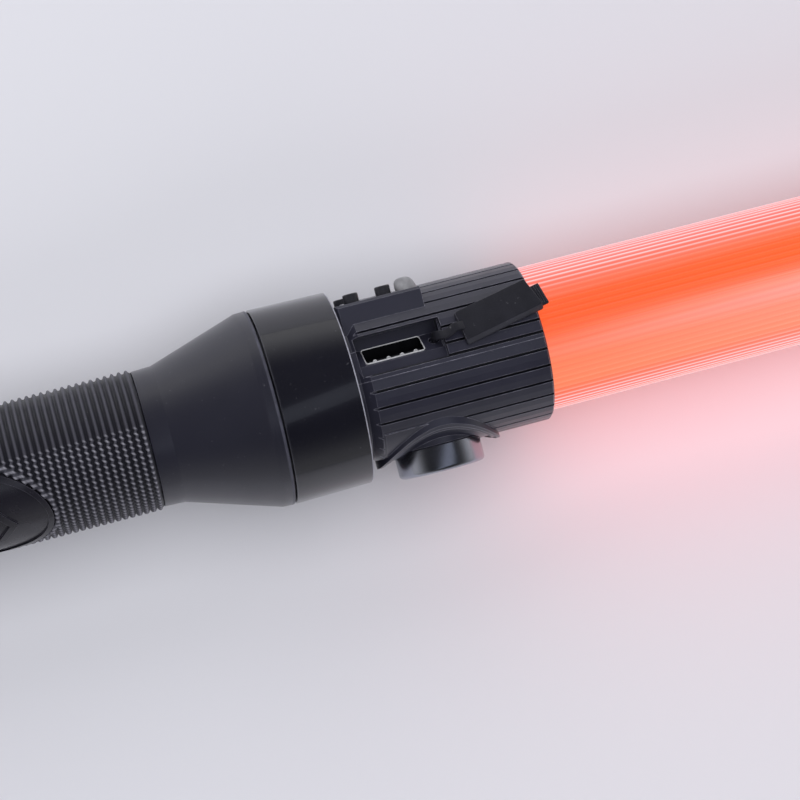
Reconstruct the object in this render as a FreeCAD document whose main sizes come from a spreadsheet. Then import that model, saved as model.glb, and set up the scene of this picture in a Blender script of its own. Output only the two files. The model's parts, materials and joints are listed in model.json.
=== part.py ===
import FreeCAD, Part
import math
import os
import Sketcher
from FreeCAD import Placement, Rotation, Vector

# Hand-held traffic baton light.
# Working frame: X runs along the baton from the tail lug (0) to the tip,
# Z points up from the surface the baton lies on, Y points to the button side.
# Every sub-part is placed so that the origin ends up at the middle of the
# baton's footprint, on the surface it rests on.

os.makedirs("parts", exist_ok=True)
doc = FreeCAD.newDocument("traffic_baton_light")

# ------------------------------------------------------------------ sizes
SIZES = [
    ("overall_length", 540.0),
    ("axis_height", 21.6),
    ("seam_x", 150.0),          # joint between flared housing and clamp ring
    ("lug_length", 9.0),
    ("lug_width", 15.0),
    ("lug_thick", 5.0),
    ("lanyard_r", 2.25),
    ("cap_flats", 43.2),
    ("cap_corner_r", 24.4),
    ("cap_end_x", 25.0),
    ("spigot_r", 11.45),
    ("spigot_end_x", 37.0),
    ("cap_travel", 6.0),
    ("oring_major", 10.62),
    ("oring_minor", 0.85),
    ("core_r", 13.0),
    ("core_bore_r", 9.6),
    ("core_mouth_r", 11.53),
    ("core_end_x", 134.0),
    ("sleeve_r", 14.75),
    ("rib_height", 0.75),
    ("rib_pitch", 1.55),
    ("rib_count", 60.0),
    ("sleeve_start_x", 25.6),
    ("sleeve_end_x", 122.7),
    ("badge_x", 84.5),
    ("badge_a", 14.0),
    ("badge_b", 10.5),
    ("neck_r", 15.05),
    ("neck_end_x", 127.3),
    ("head_r", 21.6),
    ("ring_end_x", 167.4),
    ("ring_front_r", 21.25),
    ("collar_r", 17.85),
    ("collar_bore_r", 15.3),
    ("collar_neck_r", 16.4),
    ("collar_end_x", 209.2),
    ("flute_count", 30.0),
    ("flute_depth", 0.62),
    ("pad_start_x", 167.75),
    ("pad_end_x", 186.5),
    ("pad_top", 17.2),
    ("pad_half", 12.6),
    ("button_r", 1.7),
    ("button_proud", 2.1),
    ("button_travel", 0.7),
    ("button_a_x", 172.0),
    ("button_b_x", 179.1),
    ("button_z", 8.5),
    ("lens_x", 184.15),
    ("lens_r", 2.15),
    ("port_x", 177.4),
    ("usb_width", 13.1),
    ("usb_height", 5.7),
    ("usb_depth", 12.0),
    ("puck_x", 183.4),
    ("puck_r", 9.6),
    ("puck_base", 16.7),
    ("puck_face", 22.6),
    ("tube_start_x", 199.0),
    ("tube_r", 16.1),
    ("tube_bore_r", 14.6),
    ("tube_ribs", 72.0),
    ("tube_rib_depth", 0.28),
    ("tip_cap_x", 531.0),
    ("tip_cap_r", 17.0),
    ("cell_r", 9.2),
    ("cell_length", 65.0),
]
P = {}
sheet = doc.addObject("Spreadsheet::Sheet", "Sizes")
for row, (alias, value) in enumerate(SIZES, start=1):
    sheet.set("A%d" % row, alias)
    sheet.set("B%d" % row, str(value))
    sheet.setAlias("B%d" % row, alias)
    P[alias] = value
doc.recompute()

OFFSET = Placement(Vector(-P["overall_length"] / 2.0, 0, P["axis_height"]), Rotation())
SUBPARTS = []


def val(c):
    return P[c[0]] + c[1]


def expr(c):
    return "Sizes.%s %s %.6f" % (c[0], "+" if c[1] >= 0 else "-", abs(c[1]))


def keep(obj, label):
    obj.Label = label
    SUBPARTS.append((obj, label))
    return obj


def plane(body, role):
    for feature in body.Origin.OriginFeatures:
        if feature.Role == role:
            return feature
    raise RuntimeError("no plane " + role)


def turned(label, points, fillets=(), keep_it=True):
    """A turned piece: closed profile of (x, radius) corners about the X axis."""
    body = doc.addObject("PartDesign::Body", label + "_body")
    sk = body.newObject("Sketcher::SketchObject", label + "_profile")
    sk.AttachmentSupport = (plane(body, "XY_Plane"), [""])
    sk.MapMode = "FlatFace"
    n = len(points)
    pts = [Vector(val(a), val(b) if b is not None else 0.0, 0) for a, b in points]
    for i in range(n):
        sk.addGeometry(Part.LineSegment(pts[i], pts[(i + 1) % n]), False)
    for i in range(n):
        sk.addConstraint(Sketcher.Constraint("Coincident", i, 2, (i + 1) % n, 1))
    for i, (a, b) in enumerate(points):
        c = sk.addConstraint(Sketcher.Constraint("DistanceX", -1, 1, i, 1, pts[i].x))
        sk.setExpression("Constraints[%d]" % c, expr(a))
        if b is None:
            sk.addConstraint(Sketcher.Constraint("PointOnObject", i, 1, -1))
        else:
            c = sk.addConstraint(Sketcher.Constraint("DistanceY", -1, 1, i, 1, pts[i].y))
            sk.setExpression("Constraints[%d]" % c, expr(b))
    rev = body.newObject("PartDesign::Revolution", label + "_turning")
    rev.Profile = sk
    rev.ReferenceAxis = (sk, ["H_Axis"])
    rev.Angle = 360.0
    doc.recompute()
    tip = rev
    for k, (x, r, radius) in enumerate(fillets):
        names = []
        for j, e in enumerate(tip.Shape.Edges, start=1):
            if e.Curve.TypeId != "Part::GeomCircle":
                continue
            if abs(e.Curve.Radius - val(r)) < 0.02 and abs(e.Curve.Center.x - val(x)) < 0.02:
                names.append("Edge%d" % j)
        if not names:
            raise RuntimeError("no edge to round on " + label)
        fil = body.newObject("PartDesign::Fillet", "%s_round%d" % (label, k))
        fil.Base = (tip, names)
        fil.Radius = radius
        doc.recompute()
        tip = fil
    body.Tip = tip
    if keep_it:
        keep(body, label)
    return body


def cyl(name, r, length, base, direction):
    """Cylinder primitive; r and length are sheet references or plain numbers."""
    o = doc.addObject("Part::Cylinder", name)
    if isinstance(r, tuple):
        o.Radius = val(r)
        o.setExpression("Radius", expr(r))
    else:
        o.Radius = r
    if isinstance(length, tuple):
        o.Height = val(length)
        o.setExpression("Height", expr(length))
    else:
        o.Height = length
    o.Placement = Placement(Vector(*base), Rotation(Vector(0, 0, 1), Vector(*direction)))
    return o


def box(name, size, base, rotation=None):
    o = doc.addObject("Part::Box", name)
    for prop, s in zip(("Length", "Width", "Height"), size):
        if isinstance(s, tuple):
            setattr(o, prop, val(s))
            o.setExpression(prop, expr(s))
        else:
            setattr(o, prop, s)
    o.Placement = Placement(Vector(*base), rotation or Rotation())
    return o


def cut(name, a, b):
    o = doc.addObject("Part::Cut", name)
    o.Base = a
    o.Tool = b
    return o


def fuse(name, items):
    o = doc.addObject("Part::MultiFuse", name)
    o.Shapes = items
    return o


def common(name, a, b):
    o = doc.addObject("Part::Common", name)
    o.Base = a
    o.Tool = b
    return o


def feature(name, shape):
    o = doc.addObject("Part::Feature", name)
    o.Shape = shape
    return o


def extrude_x(points_yz, x0, x1):
    """Prism along X from a closed list of (y, z) corners."""
    pts = [Vector(x0, y, z) for y, z in points_yz]
    wire = Part.makePolygon(pts + [pts[0]])
    return Part.Face(wire).extrude(Vector(x1 - x0, 0, 0))


def around(angle_deg, r):
    """(y, z) of a point at an angle measured from +Z towards +Y."""
    a = math.radians(angle_deg)
    return (r * math.sin(a), r * math.cos(a))


S = "seam_x"
AX = (1, 0, 0)

# ------------------------------------------------------------------ tail cap
# Hexagonal screw cap with rounded corners: its lower flat stops the baton
# rolling, and a flat lug with a cross hole takes a lanyard.
cap_blank = turned("tail_cap_blank", [
    (("lug_length", 0), None),
    (("lug_length", 0), ("cap_corner_r", -3.4)),
    (("lug_length", 2.4), ("cap_corner_r", -0.6)),
    (("lug_length", 4.4), ("cap_corner_r", 0)),
    (("cap_end_x", -4.2), ("cap_corner_r", 0)),
    (("cap_end_x", -1.6), ("cap_corner_r", -2.0)),
    (("cap_end_x", 0), ("cap_corner_r", -8.4)),
    (("cap_end_x", 0), None),
], keep_it=False)
hex_r = P["cap_flats"] / 2.0 / math.cos(math.radians(30))
hexagon = feature("tail_cap_hexagon", extrude_x(
    [around(30 + 60 * k, hex_r) for k in range(6)], P["lug_length"] - 1, P["cap_end_x"] + 1))
cap_hex = common("tail_cap_hex", cap_blank, hexagon)
cap_spigot = cyl("tail_cap_spigot", ("spigot_r", 0), P["spigot_end_x"] - P["cap_end_x"] + 1, (P["cap_end_x"] - 1, 0, 0), AX)
groove_out = cyl("tail_groove_out", ("spigot_r", 1), 2.1, (P["cap_end_x"] + 2.0, 0, 0), AX)
groove_in = cyl("tail_groove_in", ("oring_major", -0.92), 2.1, (P["cap_end_x"] + 2.0, 0, 0), AX)
seal_groove = cut("tail_seal_groove", groove_out, groove_in)
lug_plate = box("tail_lug_plate", (("lug_length", -4.0), ("lug_width", 0), ("lug_thick", 0)),
                (5.0, -P["lug_width"] / 2, -P["lug_thick"] / 2))
lug_round = cyl("tail_lug_round", P["lug_width"] / 2 , ("lug_thick", 0), (P["lug_width"] / 2, 0, -P["lug_thick"] / 2), (0, 0, 1))
lug = fuse("tail_lug", [lug_plate, lug_round])
lanyard = cyl("tail_lanyard_hole", ("lanyard_r", 0), 30, (4.6, 0, -15), (0, 0, 1))
cap_solid = fuse("tail_cap_solid", [cap_hex, cap_spigot, lug])
cap_tools = doc.addObject("Part::MultiFuse", "tail_cap_tools")
spring_pocket = cyl("tail_spring_pocket", 6.0, 12.0, (P["spigot_end_x"] - 6.4, 0, 0), AX)
cap_tools.Shapes = [seal_groove, lanyard, spring_pocket]
tail_cap = keep(cut("tail_cap", cap_solid, cap_tools), "tail_cap")

oring = doc.addObject("Part::Torus", "tail_o_ring")
oring.setExpression("Radius1", "Sizes.oring_major")
oring.setExpression("Radius2", "Sizes.oring_minor")
keep(oring, "tail_o_ring")

# ------------------------------------------------------------------ spring and contact
def coil(name, r, wire_r, x0, x1, turns):
    pitch = (x1 - x0) / turns
    helix = Part.makeHelix(pitch, x1 - x0, r)
    c = [Vector(r - wire_r, 0, -wire_r), Vector(r + wire_r, 0, -wire_r), Vector(r + wire_r, 0, wire_r), Vector(r - wire_r, 0, wire_r)]
    prof = Part.makePolygon(c + [c[0]])
    s = Part.Wire(helix.Edges).makePipeShell([prof], True, True)
    s.rotate(Vector(0, 0, 0), Vector(0, 1, 0), 90)
    s.translate(Vector(x0, 0, 0))
    return s


spring_x0 = P["spigot_end_x"] - 6.4 + 0.45
tail_spring = keep(feature("battery_spring", coil("battery_spring", 4.6, 0.4, spring_x0 + 0.8, 42.0, 5)), "battery_spring")
spring_plate = keep(cyl("spring_plate", 5.8, 0.8, (P["spigot_end_x"] - 6.4, 0, 0), AX), "spring_plate")

# ------------------------------------------------------------------ handle
handle_tube = turned("handle_tube", [
    (("cap_end_x", 0.3), ("core_mouth_r", 0)),
    (("cap_end_x", 0.3), ("core_r", 0)),
    (("core_end_x", 0), ("core_r", 0)),
    (("core_end_x", 0), ("core_bore_r", 0)),
    (("spigot_end_x", 1.2), ("core_bore_r", 0)),
    (("spigot_end_x", 0.2), ("core_mouth_r", 0)),
])

# ribbed rubber sleeve: one V groove repeated along the sleeve
sleeve = turned("grip_blank", [
    (("sleeve_start_x", 0), ("core_r", 0.05)),
    (("sleeve_start_x", 0), ("sleeve_r", 0.15)),
    (("sleeve_start_x", 0.5), ("sleeve_r", 0.75)),
    (("sleeve_end_x", -0.35), ("sleeve_r", 0.75)),
    (("sleeve_end_x", 0), ("sleeve_r", 0.15)),
    (("sleeve_end_x", 0), ("core_r", 0.05)),
], keep_it=False)
gsk = sleeve.newObject("Sketcher::SketchObject", "rib_groove_profile")
gsk.AttachmentSupport = (plane(sleeve, "XY_Plane"), [""])
gsk.MapMode = "FlatFace"
gx = P["sleeve_end_x"] - 1.35
gr = P["sleeve_r"]
gpts = [Vector(gx - 0.62, gr + 0.95, 0), Vector(gx - 0.16, gr + 0.05, 0), Vector(gx + 0.16, gr + 0.05, 0), Vector(gx + 0.62, gr + 0.95, 0)]
for i in range(4):
    gsk.addGeometry(Part.LineSegment(gpts[i], gpts[(i + 1) % 4]), False)
for i in range(4):
    gsk.addConstraint(Sketcher.Constraint("Coincident", i, 2, (i + 1) % 4, 1))
for i, (dx, dr) in enumerate(((-1.97, 0.95), (-1.51, 0.05), (-1.19, 0.05), (-0.73, 0.95))):
    c = gsk.addConstraint(Sketcher.Constraint("DistanceX", -1, 1, i, 1, P["sleeve_end_x"] + dx))
    gsk.setExpression("Constraints[%d]" % c, expr(("sleeve_end_x", dx)))
    c = gsk.addConstraint(Sketcher.Constraint("DistanceY", -1, 1, i, 1, gr + dr))
    gsk.setExpression("Constraints[%d]" % c, expr(("sleeve_r", dr)))
groove = sleeve.newObject("PartDesign::Groove", "rib_groove")
groove.Profile = gsk
groove.ReferenceAxis = (gsk, ["H_Axis"])
groove.Angle = 360.0
doc.recompute()
pattern = sleeve.newObject("PartDesign::LinearPattern", "rib_grooves")
pattern.Originals = [groove]
pattern.Direction = (gsk, ["H_Axis"])
pattern.Reversed = True
pattern.Occurrences = int(P["rib_count"])
pattern.Length = P["rib_pitch"] * (P["rib_count"] - 1)
sleeve.Tip = pattern
doc.recompute()
full = math.pi * ((gr + 0.75) ** 2 - (P["core_r"] + 0.05) ** 2) * (P["sleeve_end_x"] - P["sleeve_start_x"])
if sleeve.Shape.Volume > 0.985 * full:
    raise RuntimeError("rib grooves cut nothing")

# oval badge plate let into the sleeve, 42 degrees below the upper side
BADGE_ANGLE = -42.0
bd = Vector(0, math.sin(math.radians(BADGE_ANGLE)), math.cos(math.radians(BADGE_ANGLE)))


def oval_prism(a, b, r0, r1):
    e = Part.Ellipse(Vector(0, 0, 0), a, b)
    f = Part.Face(Part.Wire([e.toShape()]))
    s = f.extrude(Vector(0, 0, r1 - r0))
    s.translate(Vector(0, 0, r0))
    s.rotate(Vector(0, 0, 0), Vector(1, 0, 0), -BADGE_ANGLE)
    s.translate(Vector(P["badge_x"], 0, 0))
    return s


def tube_x(r_in, r_out, x0, x1):
    a = Part.makeCylinder(r_out, x1 - x0, Vector(x0, 0, 0), Vector(1, 0, 0))
    if r_in > 0:
        a = a.cut(Part.makeCylinder(r_in, x1 - x0 + 2, Vector(x0 - 1, 0, 0), Vector(1, 0, 0)))
    return a


badge_hole = feature("badge_window", oval_prism(P["badge_a"] + 1.3, P["badge_b"] + 1.3, 3, 20).cut(
    Part.makeCylinder(14.06, 60, Vector(P["badge_x"] - 30, 0, 0), Vector(1, 0, 0))))
grip_sleeve = keep(cut("grip_sleeve", sleeve, badge_hole), "grip_sleeve")

plate = oval_prism(P["badge_a"] + 0.1, P["badge_b"] + 0.1, 10, 20).common(tube_x(14.1, 15.05, 60, 104))
rim = oval_prism(P["badge_a"] + 1.2, P["badge_b"] + 1.2, 10, 20).cut(oval_prism(P["badge_a"] + 0.1, P["badge_b"] + 0.1, 5, 25)).common(
    tube_x(14.1, 15.45, 60, 104))
badge = plate.fuse(rim).removeSplitter()
# three raised chevrons, a plain direction mark
marks = None
for k in range(3):
    x0 = P["badge_x"] - 7.5 + 5.0 * k
    pts = [Vector(x0, -4.2, 0), Vector(x0 + 1.8, -4.2, 0), Vector(x0 + 5.2, 0, 0), Vector(x0 + 1.8, 4.2, 0), Vector(x0, 4.2, 0), Vector(x0 + 3.4, 0, 0)]
    f = Part.Face(Part.makePolygon(pts + [pts[0]])).extrude(Vector(0, 0, 10))
    f.translate(Vector(0, 0, 10))
    f.rotate(Vector(0, 0, 0), Vector(1, 0, 0), -BADGE_ANGLE)
    marks = f if marks is None else marks.fuse(f)
badge = badge.fuse(marks.common(tube_x(14.8, 15.6, 60, 104))).removeSplitter()
keep(feature("grip_badge", badge), "grip_badge")

# ------------------------------------------------------------------ flared housing and ring
head_cone = turned("flared_housing", [
    (("sleeve_end_x", 0.1), ("core_r", 0.03)),
    (("sleeve_end_x", 0.1), ("neck_r", -0.15)),
    (("neck_end_x", 0), ("neck_r", 0)),
    (("seam_x", -2.6), ("head_r", -0.05)),
    (("seam_x", -0.35), ("head_r", 0)),
    (("seam_x", 0), ("head_r", -0.35)),
    (("seam_x", 0), ("head_r", -2.0)),
    (("seam_x", 10.9), ("head_r", -2.0)),
    (("seam_x", 10.9), ("head_r", -4.0)),
    (("seam_x", -2.0), ("head_r", -4.0)),
    (("seam_x", -12.0), ("core_r", -1.0)),
    (("core_end_x", 0.1), ("core_r", -1.0)),
    (("core_end_x", 0.1), ("core_r", 0.03)),
], fillets=[(("seam_x", -2.6), ("head_r", -0.05), 2.4), (("neck_end_x", 0), ("neck_r", 0), 3.0)])

clamp_ring = turned("clamp_ring", [
    (("seam_x", 0.12), ("head_r", -1.95)),
    (("seam_x", 0.12), ("head_r", -0.4)),
    (("seam_x", 0.5), ("head_r", 0)),
    (("ring_end_x", 0), ("ring_front_r", 0)),
    (("ring_end_x", 0), ("collar_neck_r", 0.35)),
    (("ring_end_x", -4.3), ("collar_neck_r", 0.35)),
    (("ring_end_x", -4.3), ("head_r", -1.95)),
], fillets=[(("ring_end_x", 0), ("ring_front_r", 0), 0.7)])

head_seal = turned("housing_seal", [
    (("seam_x", 10.95), ("head_r", -4.0)),
    (("seam_x", 10.95), ("head_r", -2.05)),
    (("seam_x", 11.45), ("head_r", -2.05)),
    (("seam_x", 11.45), ("head_r", -4.0)),
])

# ------------------------------------------------------------------ fluted collar, two half shells
R = P["collar_r"]
D = P["flute_depth"]
STEP = 360.0 / P["flute_count"]
flute_pts = []
for k in range(int(P["flute_count"])):
    a = -8.2 + STEP * k
    # the flutes on the button side run a few degrees out of step with the other half
    g = a - 3.2 if 15 < (a % 360) < 165 else a
    flute_pts += [around(g - 1.0, R), around(g - 0.3, R - D), around(g + 0.3, R - D), around(g + 1.0, R)]
    mid = a + STEP / 2.0
    flute_pts += [around(mid - (3.2 if 15 < (mid % 360) < 165 else 0), R + 0.02)]
flutes = feature("collar_flutes", extrude_x(flute_pts, P["ring_end_x"] + 0.1, P["collar_end_x"]))
collar_env = turned("collar_envelope", [
    (("seam_x", 11.5), ("collar_bore_r", 0)),
    (("seam_x", 11.5), ("head_r", -2.1)),
    (("ring_end_x", -4.4), ("head_r", -2.1)),
    (("ring_end_x", -4.4), ("collar_neck_r", 0)),
    (("ring_end_x", 1.2), ("collar_neck_r", 0)),
    (("ring_end_x", 3.4), ("collar_r", 0.1)),
    (("collar_end_x", -0.5), ("collar_r", 0.1)),
    (("collar_end_x", 0), ("collar_r", -0.4)),
    (("collar_end_x", 0), ("tube_r", 0.15)),
    (("tube_start_x", -0.3), ("tube_r", 0.15)),
    (("tube_start_x", -0.3), ("collar_bore_r", 0)),
], keep_it=False)
neck_keep = cyl("collar_neck_keep", ("head_r", 0), P["ring_end_x"] + 0.1 - (P["seam_x"] + 11.0), (P["seam_x"] + 11.0, 0, 0), AX)
doc.recompute()
env = collar_env.Shape.copy()
fl = flutes.Shape.fuse(neck_keep.Shape)
shell = env.common(fl).removeSplitter()

# lid plane of the port recess, and the slanted port plane beneath it
TL = math.radians(19.0)
lu = Vector(0, math.cos(TL), -math.sin(TL))
ln = Vector(0, math.sin(TL), math.cos(TL))
LB = Vector(P["seam_x"], 1.35, 17.75)
TP = math.radians(55.0)
pu = Vector(0, math.cos(TP), -math.sin(TP))
pn = Vector(0, math.sin(TP), math.cos(TP))


def frame_box(origin, ex, ey, ez, x, y, z):
    """Box between (x0,x1), (y0,y1), (z0,z1) in the frame origin, ex, ey, ez."""
    m = FreeCAD.Matrix(ex.x, ey.x, ez.x, origin.x, ex.y, ey.y, ez.y, origin.y, ex.z, ey.z, ez.z, origin.z, 0, 0, 0, 1)
    b = Part.makeBox(x[1] - x[0], y[1] - y[0], z[1] - z[0], Vector(x[0], y[0], z[0]))
    return b.transformGeometry(m)


EX = Vector(1, 0, 0)
REC = (19.3, 38.2)      # recess from and to, measured from the seam
REC_DEEP = 1.65
# lid recess, as deep as the lid is thick
lid_recess = frame_box(LB, EX, lu, ln, REC, (0.0, 8.9), (-REC_DEEP, 6.0)).fuse(
    frame_box(LB, EX, lu, ln, (REC[0] - 2.0, REC[0] + 0.2), (0.45, 6.05), (-0.95, 6.0)))
# slanted pocket: below the port plane everything stays
p0 = LB + lu * 2.6 - ln * REC_DEEP
bend = Vector(0, p0.y, p0.z) + pu * 6.3         # past the port the floor turns level, and ends in a shadow gap
pocket_pts = [(p0.y, p0.z), (bend.y, bend.z), (9.7, bend.z + 0.7), (9.7, bend.z - 0.9), (10.35, bend.z - 0.9), (10.35, 13.2), (4.6, 15.6), (p0.y + 0.4, p0.z + 1.0)]
port_pocket = extrude_x(pocket_pts, P["seam_x"] + REC[0], P["seam_x"] + REC[1] - 0.3)
# tray: the walls that close the pocket off from the inside of the collar
tray_pts = [(-1.2, 17.0), (-1.2, 14.2), (p0.y - 1.9, p0.z - 1.2), (9.9 - 1.6, p0.z - (9.9 - p0.y) * math.tan(TP) - 1.4),
            (10.78, p0.z - (10.78 - p0.y) * math.tan(TP) + 0.4), (10.78, 13.0)]
tray = extrude_x(tray_pts, P["seam_x"] + REC[0] - 1.5, P["seam_x"] + REC[1] + 1.4)

# ---------------------------------------------------- button side shell
pad_outer = extrude_x([(0.5, P["pad_half"]), (P["pad_top"] - 0.55, P["pad_half"]), (P["pad_top"], P["pad_half"] - 0.55),
                       (P["pad_top"], -P["pad_half"] + 0.55), (P["pad_top"] - 0.55, -P["pad_half"]), (0.5, -P["pad_half"])],
                      P["pad_start_x"], P["pad_end_x"])
# the pad's end next to the ring is bevelled towards the collar
pad_bevel = None
for side in (1, -1):
    b = Part.Face(Part.makePolygon([Vector(P["pad_start_x"] - 1, 0, side * (P["pad_half"] - 1.5)), Vector(P["pad_start_x"] + 1.2, 0, side * (P["pad_half"] + 0.7)),
                                    Vector(P["pad_start_x"] - 1, 0, side * (P["pad_half"] + 0.7)), Vector(P["pad_start_x"] - 1, 0, side * (P["pad_half"] - 1.5))])).extrude(Vector(0, 30, 0))
    pad_bevel = b if pad_bevel is None else pad_bevel.fuse(b)
pad_outer = pad_outer.cut(pad_bevel)
bore = Part.makeCylinder(P["collar_bore_r"], 60, Vector(P["seam_x"], 0, 0), Vector(1, 0, 0))
pad_outer = pad_outer.cut(bore)
upper_half = Part.makeBox(80, 40, 60, Vector(P["seam_x"], 0, -30))
front = shell.common(upper_half).fuse(pad_outer).fuse(tray.common(upper_half).common(
    Part.makeCylinder(16.2, 60, Vector(P["seam_x"], 0, 0), Vector(1, 0, 0)))).removeSplitter()
pad_room = Part.makeBox(P["pad_end_x"] - P["pad_start_x"] - 2.9, 4.42, 22.4, Vector(P["pad_start_x"] + 1.7, 10.78, -11.2))
holes = []
for x, z in ((P["button_a_x"], P["button_z"]), (P["button_b_x"], P["button_z"]), (P["button_a_x"], -P["button_z"])):
    holes.append(Part.makeCylinder(P["button_r"] + 0.08, 6, Vector(x, 13.5, z), Vector(0, 1, 0)))
holes.append(Part.makeCylinder(1.35, 6, Vector(P["lens_x"], 13.0, P["button_z"]), Vector(0, 1, 0)))
front = front.cut(pad_room)
for hcyl in holes:
    front = front.cut(hcyl)
front = front.cut(lid_recess).cut(port_pocket)
# opening for the metal port shell, and the rounded hole that anchors the strap
port_c = Vector(P["port_x"], p0.y, p0.z) + pu * (0.5 + P["usb_height"] / 2)
usb_slot = frame_box(port_c, EX, pu, pn, (-P["usb_width"] / 2 - 0.05, P["usb_width"] / 2 + 0.05),
                     (-P["usb_height"] / 2 - 0.05, P["usb_height"] / 2 + 0.05), (-20, 3))
front = front.cut(usb_slot)
anchor_at = Vector(P["seam_x"] + 36.55, p0.y, p0.z) + pu * 3.3
anchor_hole = Part.makeCylinder(1.25, 1.0, anchor_at + pn * 0.1, pn * -1)
front = front.cut(anchor_hole)
front = front.removeSplitter()

# ---------------------------------------------------- magnet side shell
lower_half = Part.makeBox(80, 40, 60, Vector(P["seam_x"], -40, -30))
px = P["puck_x"]


def down(r, y0, y1):
    return Part.makeCylinder(r, y1 - y0, Vector(px, -y0, 0), Vector(0, -1, 0))


rear = shell.common(lower_half)
saddle = tube_x(P["collar_bore_r"], 17.95, px - 16, px + 16).common(down(13.9, 2, 30))
bead1 = tube_x(P["collar_bore_r"], 18.95, px - 16, px + 16).common(down(13.9, 2, 30).cut(down(13.15, 1, 31)))
bead2 = tube_x(P["collar_bore_r"], 18.6, px - 16, px + 16).common(down(12.75, 2, 30).cut(down(12.15, 1, 31)))
ring_clear = Part.makeCylinder(25, 40, Vector(P["ring_end_x"] + 0.35 - 40, 0, 0), Vector(1, 0, 0))
boss = down(9.3, 12.0, P["puck_base"]).cut(Part.makeCylinder(P["collar_bore_r"] - 2.5, 80, Vector(P["seam_x"], 0, 0), Vector(1, 0, 0)))
# smooth flank between the ring end and the bead, without flutes
flank_r = 18.1
flank_x = P["ring_end_x"] + 1.45
flank = Part.makeCone(P["collar_neck_r"] + 0.2, flank_r, 2.4, Vector(flank_x, 0, 0), Vector(1, 0, 0)).fuse(
    Part.makeCylinder(flank_r, px - flank_x - 2.4, Vector(flank_x + 2.4, 0, 0), Vector(1, 0, 0)))
flank = flank.cut(Part.makeCylinder(P["collar_bore_r"] + 0.45, 80, Vector(P["seam_x"], 0, 0), Vector(1, 0, 0)))
wy, wz = -60 * math.sin(math.radians(41.0)), 60 * math.cos(math.radians(41.0))
wedge = Part.Face(Part.makePolygon([Vector(150, 0, 0), Vector(150, wy, wz), Vector(150, wy, -wz), Vector(150, 0, 0)])).extrude(Vector(60, 0, 0))
flank = flank.common(wedge).cut(down(13.5, 2, 30))
rear = rear.fuse(flank)
rear = rear.fuse(saddle.fuse(bead1).fuse(bead2).common(lower_half).cut(ring_clear)).fuse(boss).removeSplitter()
rear = rear.cut(down(9.8, P["puck_base"], 30)).cut(down(1.6, 5, 30))
rear = rear.removeSplitter()

keep(feature("collar_button_shell", front), "collar_button_shell")
keep(feature("collar_magnet_shell", rear), "collar_magnet_shell")

# ------------------------------------------------------------------ magnet puck and its screw
puck_blank = Part.makeCylinder(P["puck_r"], P["puck_face"] - P["puck_base"] - 0.05, Vector(px, -P["puck_base"] - 0.05, 0), Vector(0, -1, 0))
rim_edges = [e for e in puck_blank.Edges if e.Curve.TypeId == "Part::GeomCircle" and abs(e.Curve.Center.y + P["puck_face"]) < 0.01]
puck = puck_blank.makeFillet(0.9, rim_edges)
base_edges = [e for e in puck.Edges if e.Curve.TypeId == "Part::GeomCircle" and abs(e.Curve.Center.y + P["puck_base"] + 0.05) < 0.01]
puck = puck.makeFillet(0.3, base_edges)
puck = puck.cut(Part.makeCone(3.5, 1.65, 1.9, Vector(px, -P["puck_face"], 0), Vector(0, 1, 0))).cut(down(1.65, 5, 30))
keep(feature("magnet_puck", puck), "magnet_puck")
screw = Part.makeCone(3.35, 1.5, 1.82, Vector(px, -P["puck_face"] + 0.12, 0), Vector(0, 1, 0)).fuse(
    Part.makeCylinder(1.5, 9.0, Vector(px, -P["puck_face"] + 1.9, 0), Vector(0, 1, 0))).removeSplitter()
slot1 = Part.makeBox(3.4, 1.2, 0.75, Vector(px - 1.7, -P["puck_face"] - 0.05, -0.375))
slot2 = Part.makeBox(0.75, 1.2, 3.4, Vector(px - 0.375, -P["puck_face"] - 0.05, -1.7))
screw = screw.cut(slot1).cut(slot2)
keep(feature("magnet_screw", screw), "magnet_screw")
nut = Part.makeCylinder(4.2, 1.6, Vector(px, -12.1, 0), Vector(0, 1, 0)).cut(Part.makeCylinder(1.55, 30, Vector(px, -20, 0), Vector(0, 1, 0)))
keep(feature("magnet_nut_plate", nut), "magnet_nut_plate")

# ------------------------------------------------------------------ buttons, switches, lens
def button(name, x, z):
    top = P["pad_top"] + P["button_proud"]
    stem = Part.makeCylinder(P["button_r"], top - 14.2, Vector(x, 14.2, z), Vector(0, 1, 0))
    e = [k for k in stem.Edges if k.Curve.TypeId == "Part::GeomCircle" and abs(k.Curve.Center.y - top) < 0.01]
    stem = stem.makeFillet(0.3, e)
    flange = Part.makeCylinder(P["button_r"] + 0.6, 0.8, Vector(x, 14.2, z), Vector(0, 1, 0))
    return keep(feature(name, stem.fuse(flange).removeSplitter()), name)


button("power_button", P["button_a_x"], P["button_z"])
button("flash_button", P["button_b_x"], P["button_z"])
button("siren_button", P["button_a_x"], -P["button_z"])


def switch(name, x, z):
    body = Part.makeBox(4.4, 1.5, 4.4, Vector(x - 2.2, 11.45, z - 2.2))
    nub = Part.makeCylinder(1.0, 0.45, Vector(x, 12.95, z), Vector(0, 1, 0))
    return keep(feature(name, body.fuse(nub).removeSplitter()), name)


switch("power_switch", P["button_a_x"] + 0.3, P["button_z"])
switch("flash_switch", P["button_b_x"], P["button_z"])
switch("siren_switch", P["button_a_x"] + 0.3, -P["button_z"])

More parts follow.
